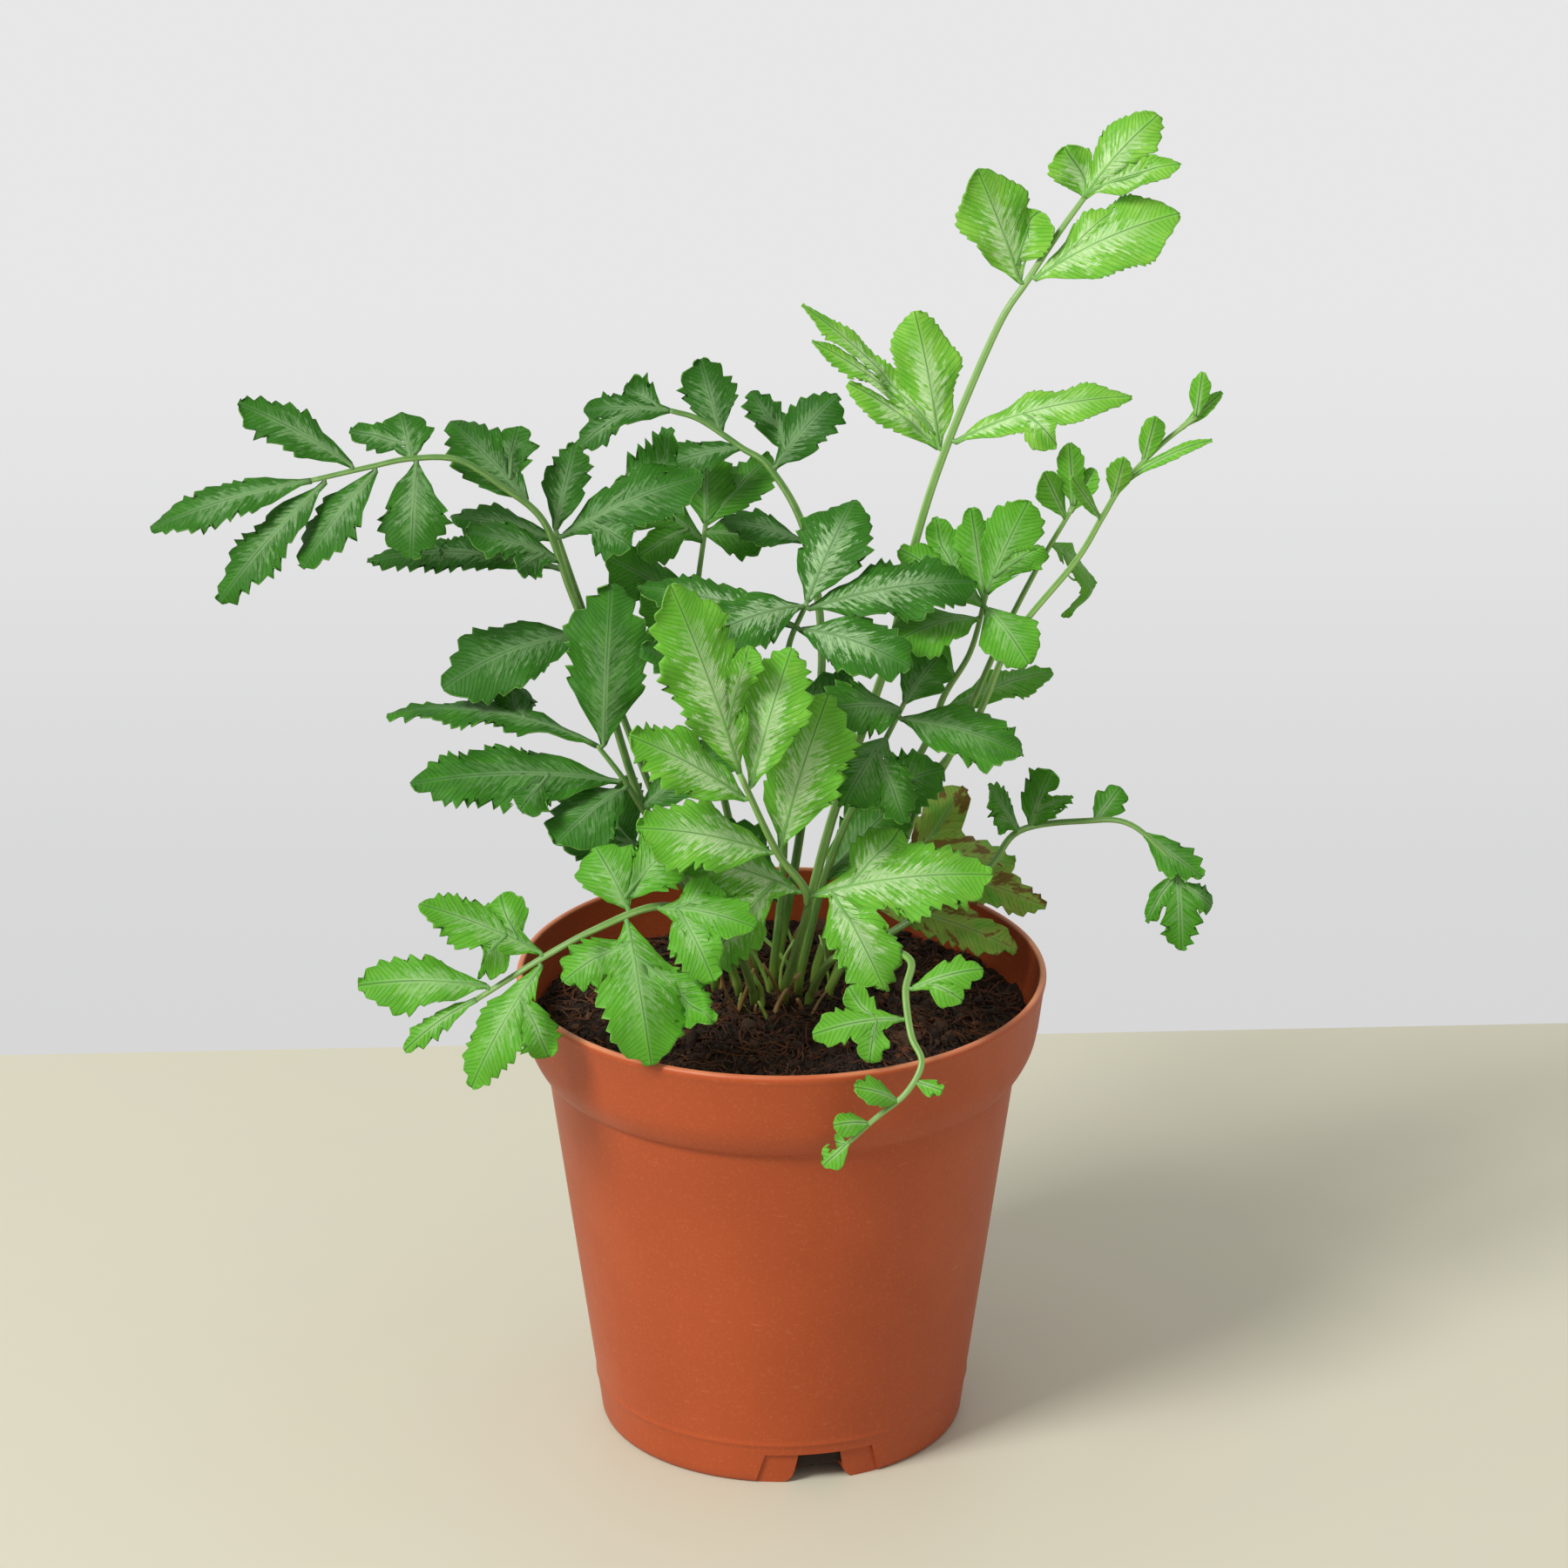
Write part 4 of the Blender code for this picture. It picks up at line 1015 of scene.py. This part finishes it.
def add_lumps(surface, rng, count, subdivisions, least, most, redness):
    """Crumbs or clods half sunk in the peat."""
    points, faces = ball(subdivisions)
    x, y = scatter(rng, count)
    size = least * (most / least) ** (rng.uniform(0.0, 1.0, count) ** LUMP_SIZE_POWER)
    stretch = rng.uniform(*LUMP_STRETCH, (count, 1, 3))
    jitter = 1.0 + rng.uniform(-LUMP_JITTER, LUMP_JITTER, (count, len(points), 1))
    shapes = points[None] * jitter * stretch * size[:, None, None]
    shapes = np.einsum("nij,nkj->nki", random_turns(rng, count), shapes)
    centre = np.stack([x, y, soil_level(x, y) + size * LUMP_LIFT], axis=-1)
    tone = np.repeat(rng.uniform(0.0, 1.0, count), len(points))
    red = np.repeat(rng.uniform(0.0, 1.0, count) < redness, len(points))
    crumb = np.stack([tone, red.astype(float), tone * 0.0], axis=-1)
    all_faces = (faces[None] + (np.arange(count) * len(points))[:, None, None]).reshape(-1, 3)
    surface.add(shapes + centre[:, None], all_faces, crumb=crumb)


def add_fibres(surface, rng):
    """Bent roots and wood fibres lying on the peat."""
    steps = np.linspace(-0.5, 0.5, len(FIBRE_TAPER))
    for x, y in zip(*scatter(rng, FIBRE_COUNT)):
        length = rng.uniform(*FIBRE_LENGTH)
        angle = rng.uniform(0.0, math.tau)
        bend = rng.uniform(-FIBRE_BEND, FIBRE_BEND) * length
        along = steps * length
        across = bend * (steps**2 - 0.25) * 4
        px = x + along * math.cos(angle) - across * math.sin(angle)
        py = y + along * math.sin(angle) + across * math.cos(angle)
        shrink = np.minimum(1.0, FIBRE_LIMIT / np.maximum(np.hypot(px, py), 0.001))
        px, py = px * shrink, py * shrink
        lift = rng.uniform(0.0, FIBRE_LIFT) + rng.uniform(-FIBRE_TILT, FIBRE_TILT) * steps
        height = soil_level(px, py) + FIBRE_CLEAR + np.maximum(lift, -FIBRE_DIP)
        radii = FIBRE_TAPER * rng.uniform(*FIBRE_RADIUS)
        tone = (rng.uniform(*FIBRE_TONE), float(rng.uniform() < FIBRE_REDNESS), 0.0)
        add_tube(surface, np.stack([px, py, height], axis=-1), radii, FIBRE_SIDES, 0.0, crumb=tone)


def build_soil():
    """Peat filling the pot up to its uneven top, with crumbs, clods and fibres on it."""
    rng = np.random.default_rng(PEAT_SEED)
    inside = inner_wall(SOIL_GAP)[:3][::-1] + [(NEAR_AXIS, FLOOR_TOP + SOIL_GAP)]
    radii = np.linspace(NEAR_AXIS, SOIL_EDGE_RADIUS, SOIL_RINGS)
    radii = np.append(radii, [radius for radius, _ in inside])
    angles = np.arange(SOIL_SIDES) * math.tau / SOIL_SIDES
    x, y = radii[:, None] * np.cos(angles), radii[:, None] * np.sin(angles)
    heights = soil_level(x, y)
    heights[SOIL_RINGS:] = [[height] for _, height in inside]
    surface = Surface()
    surface.add(np.stack([x, y, heights], axis=-1), [], crumb=GROUND_TONE)
    surface.add_faces([face[::-1] for face in drum_faces(len(radii), SOIL_SIDES)])
    add_lumps(surface, rng, *CRUMBS)
    add_lumps(surface, rng, *CLODS)
    add_fibres(surface, rng)
    piece("peat", surface.mesh("peat", smooth=False), "soil", "soil", SOIL_MATERIAL)


def build_old_stalks():
    """Stubs of dry stalks and thin young ones among the living stems at the crown."""
    rng = np.random.default_rng(OLD_STALK_SEED)
    surface = Surface()
    shares = np.linspace(0.0, 1.0, OLD_STALK_STEPS)[:, None]
    for _ in range(OLD_STALK_COUNT):
        angle = rng.uniform(0.0, math.tau)
        radius = OLD_STALK_SPREAD * math.sqrt(rng.uniform())
        x, y = radius * math.cos(angle), CROWN_Y + radius * math.sin(angle)
        length = rng.uniform(*OLD_STALK_LENGTH)
        lean = rng.normal(0.0, OLD_STALK_LEAN, 2)
        bend = rng.normal(0.0, OLD_STALK_BEND, 2)
        sideways = lean * shares * length + bend * shares * (1.0 - shares) * 4 * length
        height = soil_level(x, y) - OLD_STALK_BURIED + shares * length
        path = np.hstack([np.array([x, y]) + sideways, height])
        radii = rng.uniform(*OLD_STALK_RADIUS) * (1.0 - OLD_STALK_TAPER * shares[:, 0])
        tone = (OLD_STALK_AGE, 0.0, float(rng.uniform() < DRY_SHARE))
        add_tube(surface, path, radii, OLD_STALK_SIDES, OLD_STALK_GROOVE, blade_tone=tone)
    piece("old_stalks", surface.mesh("old_stalks"), "stem", "low_back_stem", STEM_MATERIAL)


class Look:
    """A material's node tree, with short ways to add the nodes used here."""

    def __init__(self, name):
        self.material = bpy.data.materials.new(name)
        self.material.use_nodes = True
        self.tree = self.material.node_tree
        self.shader = self.tree.nodes["Principled BSDF"]

    def node(self, kind, *values, output=0, **settings):
        """Adds a node, feeds its first inputs and returns one of its outputs."""
        made = self.tree.nodes.new("ShaderNode" + kind)
        for name, value in settings.items():
            setattr(made, name, value)
        for socket, value in zip(made.inputs, values):
            self.feed(socket, value)
        return made.outputs[output]

    def feed(self, socket, value):
        if isinstance(value, bpy.types.NodeSocket):
            self.tree.links.new(value, socket)
        elif value is not None:
            socket.default_value = value

    def math(self, operation, *values):
        return self.node("Math", *values, operation=operation)

    def times(self, first, second):
        return self.math("MULTIPLY", first, second)

    def plus(self, first, second):
        return self.math("ADD", first, second)

    def minus(self, first, second):
        return self.math("SUBTRACT", first, second)

    def parts(self, name):
        """The three numbers of a vertex attribute."""
        return self.split(self.node("Attribute", attribute_name=name, output=1))

    def split(self, vector):
        made = self.tree.nodes.new("ShaderNodeSeparateXYZ")
        self.feed(made.inputs[0], vector)
        return made.outputs

    def vector(self, x, y, z):
        return self.node("CombineXYZ", x, y, z)

    def noise(self, vector, scale, detail=3.0, roughness=0.55):
        made = self.tree.nodes.new("ShaderNodeTexNoise")
        self.feed(made.inputs["Vector"], vector)
        self.feed(made.inputs["Scale"], scale)
        self.feed(made.inputs["Detail"], detail)
        self.feed(made.inputs["Roughness"], roughness)
        return made.outputs[0]

    def ramp(self, value, low, high, start=0.0, end=1.0):
        """Goes smoothly from start to end while value goes from low to high."""
        made = self.tree.nodes.new("ShaderNodeMapRange")
        made.interpolation_type = "SMOOTHSTEP"
        for socket, number in zip(made.inputs, (value, low, high, start, end)):
            self.feed(socket, number)
        return made.outputs[0]

    def mix(self, factor, first, second, blend="MIX"):
        made = self.tree.nodes.new("ShaderNodeMix")
        made.data_type = "RGBA"
        made.blend_type = blend
        for socket, value in ((made.inputs[0], factor), (made.inputs[6], first), (made.inputs[7], second)):
            self.feed(socket, value)
        return made.outputs[2]

    def colours(self, value, stops):
        """A colour ramp through (place, colour) stops."""
        made = self.tree.nodes.new("ShaderNodeValToRGB")
        elements = made.color_ramp.elements
        while len(elements) < len(stops):
            elements.new(0.5)
        for element, (place, colour) in zip(elements, stops):
            element.position = place
            element.color = colour
        self.feed(made.inputs[0], value)
        return made.outputs[0]

    def bump(self, height, strength, distance_mm):
        made = self.tree.nodes.new("ShaderNodeBump")
        made.inputs["Strength"].default_value = strength
        made.inputs["Distance"].default_value = distance_mm * MM
        self.feed(made.inputs["Height"], height)
        self.feed(self.shader.inputs["Normal"], made.outputs[0])
        return made.outputs[0]

    def see_through(self, colour, share, normal):
        """Lets some light through, as a thin leaf does."""
        through = self.tree.nodes.new("ShaderNodeBsdfTranslucent")
        self.feed(through.inputs["Color"], colour)
        self.feed(through.inputs["Normal"], normal)
        mixed = self.tree.nodes.new("ShaderNodeMixShader")
        mixed.inputs[0].default_value = share
        self.feed(mixed.inputs[1], self.shader.outputs[0])
        self.feed(mixed.inputs[2], through.outputs[0])
        output = self.tree.nodes["Material Output"]
        self.feed(output.inputs["Surface"], mixed.outputs[0])

    def set(self, **values):
        for name, value in values.items():
            self.feed(self.shader.inputs[name.replace("_", " ")], value)


def veins(look, foot, off_midrib):
    """Fine side veins: 1 on a vein and 0 between two."""
    turn = look.math("FRACT", look.math("DIVIDE", foot, VEIN_SPACING))
    peak = look.math("ABSOLUTE", look.minus(look.times(turn, 2.0), 1.0))
    return look.times(look.ramp(peak, 0.72, 1.0), look.ramp(off_midrib, 0.2, 0.8))


def blade_noise(look, place, foot_scale, across_scale, *settings):
    """Noise that is stretched along a blade's side veins."""
    foot, across, seed = place
    point = look.vector(look.times(foot, foot_scale), look.times(across, across_scale), seed)
    return look.noise(point, *settings)


def leaf_greens(look, age, patch):
    tone = look.plus(age, look.times(look.minus(patch, 0.5), 0.35))
    return look.colours(tone, LEAF_GREENS)


def silvered(look, green, age, silver, share, streak, fleck):
    """Silver feathered out along the side veins, fading towards the tip and the margin."""
    along, out, _ = share
    reach = look.plus(look.times(out, 0.34), 0.36)
    feather = look.ramp(look.minus(streak, reach), -0.05, 0.09)
    tip_fade = look.ramp(look.plus(along, look.times(fleck, 0.3)), 0.62, 1.05, 1.0, 0.0)
    mottle = look.ramp(fleck, 0.36, 0.58, 0.35, 1.0)
    amount = look.times(look.times(feather, tip_fade), look.times(mottle, silver))
    pale = look.mix(age, SILVER_OLD, SILVER_YOUNG)
    return look.mix(look.times(amount, 0.9), green, pale), pale


def browned(look, colour, place, brown):
    """Yellowed and dead blotches on a leaflet that is dying back."""
    blotch = blade_noise(look, place, 0.2, 0.25, 1.0, 4.0, 0.6)
    yellow = look.times(look.ramp(blotch, 0.3, 0.55), brown)
    colour = look.mix(look.times(yellow, 0.7), colour, YELLOWED)
    return look.mix(look.times(look.ramp(blotch, 0.53, 0.6), brown), colour, DEAD_BROWN)


def leaf_material():
    """Green upper side, silver feathered along the side veins from the midrib, with a paler edge."""
    look = Look("leaf_upper")
    place = look.parts("blade_place")
    share = look.parts("blade_share")
    age, silver, brown = look.parts("blade_tone")
    off_midrib = look.math("ABSOLUTE", place[1])
    streak = blade_noise(look, place, 1.0, 0.42, 1.15, 5.0, 0.68)
    fleck = blade_noise(look, place, 2.6, 0.55, 1.0, 4.0, 0.7)
    vein = veins(look, place[0], off_midrib)
    green = leaf_greens(look, age, blade_noise(look, place, 0.16, 0.3, 1.0))
    green = look.mix(look.times(vein, 0.2), green, VEIN_GREEN)
    green = look.mix(look.ramp(fleck, 0.4, 0.8, 0.0, 0.12), green, FLECK_GREEN)
    colour, pale = silvered(look, green, age, silver, share, streak, fleck)
    midrib = look.times(look.ramp(off_midrib, 0.3, 0.6, 1.0, 0.0), look.ramp(share[0], 0.3, 1.0, 0.75, 0.1))
    colour = look.mix(midrib, colour, look.mix(0.5, pale, green))
    # Painted shade: the bottom of the midrib's groove is darkened.
    groove = look.ramp(off_midrib, 0.05, 0.16, 1.0, 0.0)
    colour = look.mix(look.times(groove, 0.6), colour, MIDRIB_GROOVE_SHADE)
    colour = look.mix(look.ramp(share[1], 0.955, 1.0, 0.0, 0.45), colour, MARGIN_GREEN)
    colour = browned(look, colour, place, brown)
    look.set(Base_Color=colour, Roughness=look.ramp(fleck, 0.3, 0.7, 0.44, 0.6), Specular_IOR_Level=0.2)
    height = look.minus(look.minus(look.times(fleck, 0.35), look.times(vein, 0.5)), look.times(groove, 0.8))
    look.see_through(colour, LIGHT_THROUGH, look.bump(height, 0.7, 0.25))
    return look.material


def underside_material():
    """Paler, matt underside with the side veins showing."""
    look = Look("leaf_underside")
    place = look.parts("blade_place")
    age = look.parts("blade_tone")[0]
    patch = blade_noise(look, place, 0.5, 0.5, 1.0)
    green = look.mix(0.45, leaf_greens(look, look.times(age, 0.9), patch), UNDERSIDE_GREEN)
    vein = veins(look, place[0], look.math("ABSOLUTE", place[1]))
    colour = look.mix(look.times(vein, 0.35), green, UNDERSIDE_VEIN)
    look.set(Base_Color=colour, Roughness=look.ramp(patch, 0.3, 0.7, 0.5, 0.65))
    look.see_through(colour, LIGHT_THROUGH, look.bump(look.plus(vein, patch), 0.4, 0.2))
    return look.material


def stem_material():
    """Green with painted shade darkening its groove, turning yellowish and then brown at the foot."""
    look = Look("stem")
    distance, facing, _ = look.parts("tube_place")
    age, _, dry = look.parts("blade_tone")
    grain = look.noise(look.vector(look.times(distance, 0.12), facing, age), 2.5, 4.0, 0.6)
    green = look.mix(age, STEM_OLD, STEM_YOUNG)
    green = look.mix(look.ramp(grain, 0.35, 0.7, 0.0, 0.4), green, STEM_GRAIN)
    # Painted shade: the groove along the stem's upper side is darkened.
    green = look.mix(look.ramp(facing, 0.72, 0.98, 0.0, 0.6), green, STEM_GROOVE_SHADE)
    foot = look.plus(distance, look.times(grain, 10.0))
    colour = look.mix(look.ramp(foot, 8.0, 26.0, 0.6, 0.0), green, STEM_FOOT_YELLOW)
    colour = look.mix(look.ramp(foot, 4.0, 11.0, 0.6, 0.0), colour, STEM_FOOT_BROWN)
    colour = look.mix(dry, colour, look.mix(grain, DRY_DARK, DRY_PALE))
    look.set(Base_Color=colour, Roughness=look.ramp(grain, 0.3, 0.7, 0.36, 0.5))
    look.bump(grain, 0.25, 0.15)
    return look.material


def soil_material():
    """Dark damp peat with lighter crumbs and reddish wood fibres."""
    look = Look("peat")
    tone, red, _ = look.parts("crumb")
    place = look.node("TexCoord", output=3)
    grain = look.noise(place, 900.0, 5.0, 0.7)
    damp = look.noise(place, 60.0, 3.0)
    colour = look.colours(look.plus(look.times(tone, 0.6), look.times(grain, 0.5)), PEAT_BROWNS)
    colour = look.mix(look.times(red, 0.75), colour, FIBRE_RED)
    colour = look.mix(look.ramp(damp, 0.4, 0.65, 0.0, 0.45), colour, DAMP_BROWN)
    look.set(Base_Color=colour, Roughness=look.ramp(damp, 0.35, 0.7, 0.95, 0.7), Specular_IOR_Level=0.25)
    look.bump(grain, 0.9, 0.5)
    return look.material


def pot_material():
    """Moulded terracotta-coloured plastic: satin, finely pebbled, a little uneven, with faint scuffs and a
    painted highlight along the top of the lip.
    """
    look = Look("pot_plastic")
    place = look.node("TexCoord", output=3)
    pebble = look.noise(place, 1500.0, 2.0, 0.5)
    cloud = look.noise(place, 28.0, 4.0)
    streak = look.noise(look.node("VectorMath", place, (160.0, 160.0, 900.0), operation="MULTIPLY"), 1.0, 3.0)
    colour = look.mix(look.ramp(cloud, 0.3, 0.7), TERRACOTTA, TERRACOTTA_DEEP)
    colour = look.mix(look.ramp(pebble, 0.5, 0.8, 0.0, 0.18), colour, PEBBLE_PALE)
    colour = look.mix(look.ramp(streak, 0.66, 0.8, 0.0, 0.3), colour, SCUFF_PALE)
    # Painted highlight: the top of the lip is lightened in patches where the light catches its rounding.
    height = look.split(place)[2]
    lip_highlight = look.times(look.ramp(height, LIP_HIGHLIGHT_FROM * MM, POT_HEIGHT * MM),
                      look.ramp(cloud, 0.35, 0.6, 0.2, 0.8))
    colour = look.mix(lip_highlight, colour, LIP_PAINTED_HIGHLIGHT)
    look.set(Base_Color=colour, Roughness=look.ramp(cloud, 0.3, 0.7, 0.42, 0.52), Specular_IOR_Level=0.35)
    look.bump(look.plus(pebble, look.times(cloud, 0.5)), 0.3, 0.12)
    return look.material


def table_material():
    look = Look("table")
    grain = look.noise(look.node("TexCoord", output=3), 40.0)
    colour = look.mix(look.ramp(grain, 0.3, 0.7, 0.0, 0.06), TABLE_COLOUR, (0.5, 0.5, 0.5, 1.0))
    look.set(Base_Color=colour, Roughness=0.55)
    return look.material


def backdrop_material():
    look = Look("backdrop")
    glow = look.tree.nodes.new("ShaderNodeEmission")
    depth = look.split(look.node("TexCoord", output=3))[1]
    look.feed(glow.inputs["Color"], look.mix(look.ramp(depth, 1.7, 2.8), BACKDROP_NEAR, BACKDROP_FAR))
    look.feed(look.tree.nodes["Material Output"].inputs["Surface"], glow.outputs[0])
    return look.material


def flat_plane(name, half_width, front, back_left, back_right, height, material):
    mesh = bpy.data.meshes.new(name)
    corners = [(-half_width, front, height), (half_width, front, height), (half_width, back_right, height),
               (-half_width, back_left, height)]
    mesh.from_pydata(corners, [], [(0, 1, 2, 3)])
    obj = new_object(name, mesh, material)


def build_key_light():
    light = bpy.data.lights.new("key", "AREA")
    light.shape = "SQUARE"
    light.size = KEY_SIZE
    light.energy = KEY_POWER
    light.color = KEY_COLOUR
    obj = bpy.data.objects.new("key", light)
    obj.location = KEY_PLACE
    obj.rotation_euler = (Vector(KEY_TARGET) - Vector(KEY_PLACE)).to_track_quat("-Z", "Y").to_euler()
    bpy.context.scene.collection.objects.link(obj)


def build_studio():
    """A pale table with its back edge showing, a light grey backdrop beyond it and light from the left."""
    flat_plane("table_top", TABLE_HALF_WIDTH, TABLE_FRONT, TABLE_BACK_LEFT, TABLE_BACK_RIGHT, 0.0,
               table_material())
    flat_plane("backdrop", BACKDROP_REACH, -BACKDROP_REACH, BACKDROP_REACH, BACKDROP_REACH, BACKDROP_HEIGHT,
               backdrop_material())
    world = bpy.data.worlds.new("studio")
    world.use_nodes = True
    background = world.node_tree.nodes["Background"]
    background.inputs["Color"].default_value = AMBIENT_COLOUR
    background.inputs["Strength"].default_value = AMBIENT
    bpy.context.scene.world = world
    build_key_light()


def build_camera():
    data = bpy.data.cameras.new("camera")
    data.lens = CAMERA_LENS
    data.sensor_width = 36.0
    data.clip_start, data.clip_end = 0.05, 30.0
    camera = bpy.data.objects.new("camera", data)
    tilt = math.radians(CAMERA_ELEVATION)
    back = Vector((0.0, -math.cos(tilt), math.sin(tilt)))
    camera.location = Vector(CAMERA_TARGET) + back * CAMERA_DISTANCE
    camera.rotation_euler = (-back).to_track_quat("-Z", "Y").to_euler()
    bpy.context.scene.collection.objects.link(camera)
    bpy.context.scene.camera = camera


LEAF_MATERIAL = leaf_material()
UNDERSIDE_MATERIAL = underside_material()
STEM_MATERIAL = stem_material()
SOIL_MATERIAL = soil_material()
POT_MATERIAL = pot_material()

build_pot()
build_soil()
build_old_stalks()
for frond_number, frond in enumerate(FRONDS):
    build_frond(frond_number, *frond)
build_studio()
build_camera()
bpy.context.scene.view_settings.view_transform = "Standard"
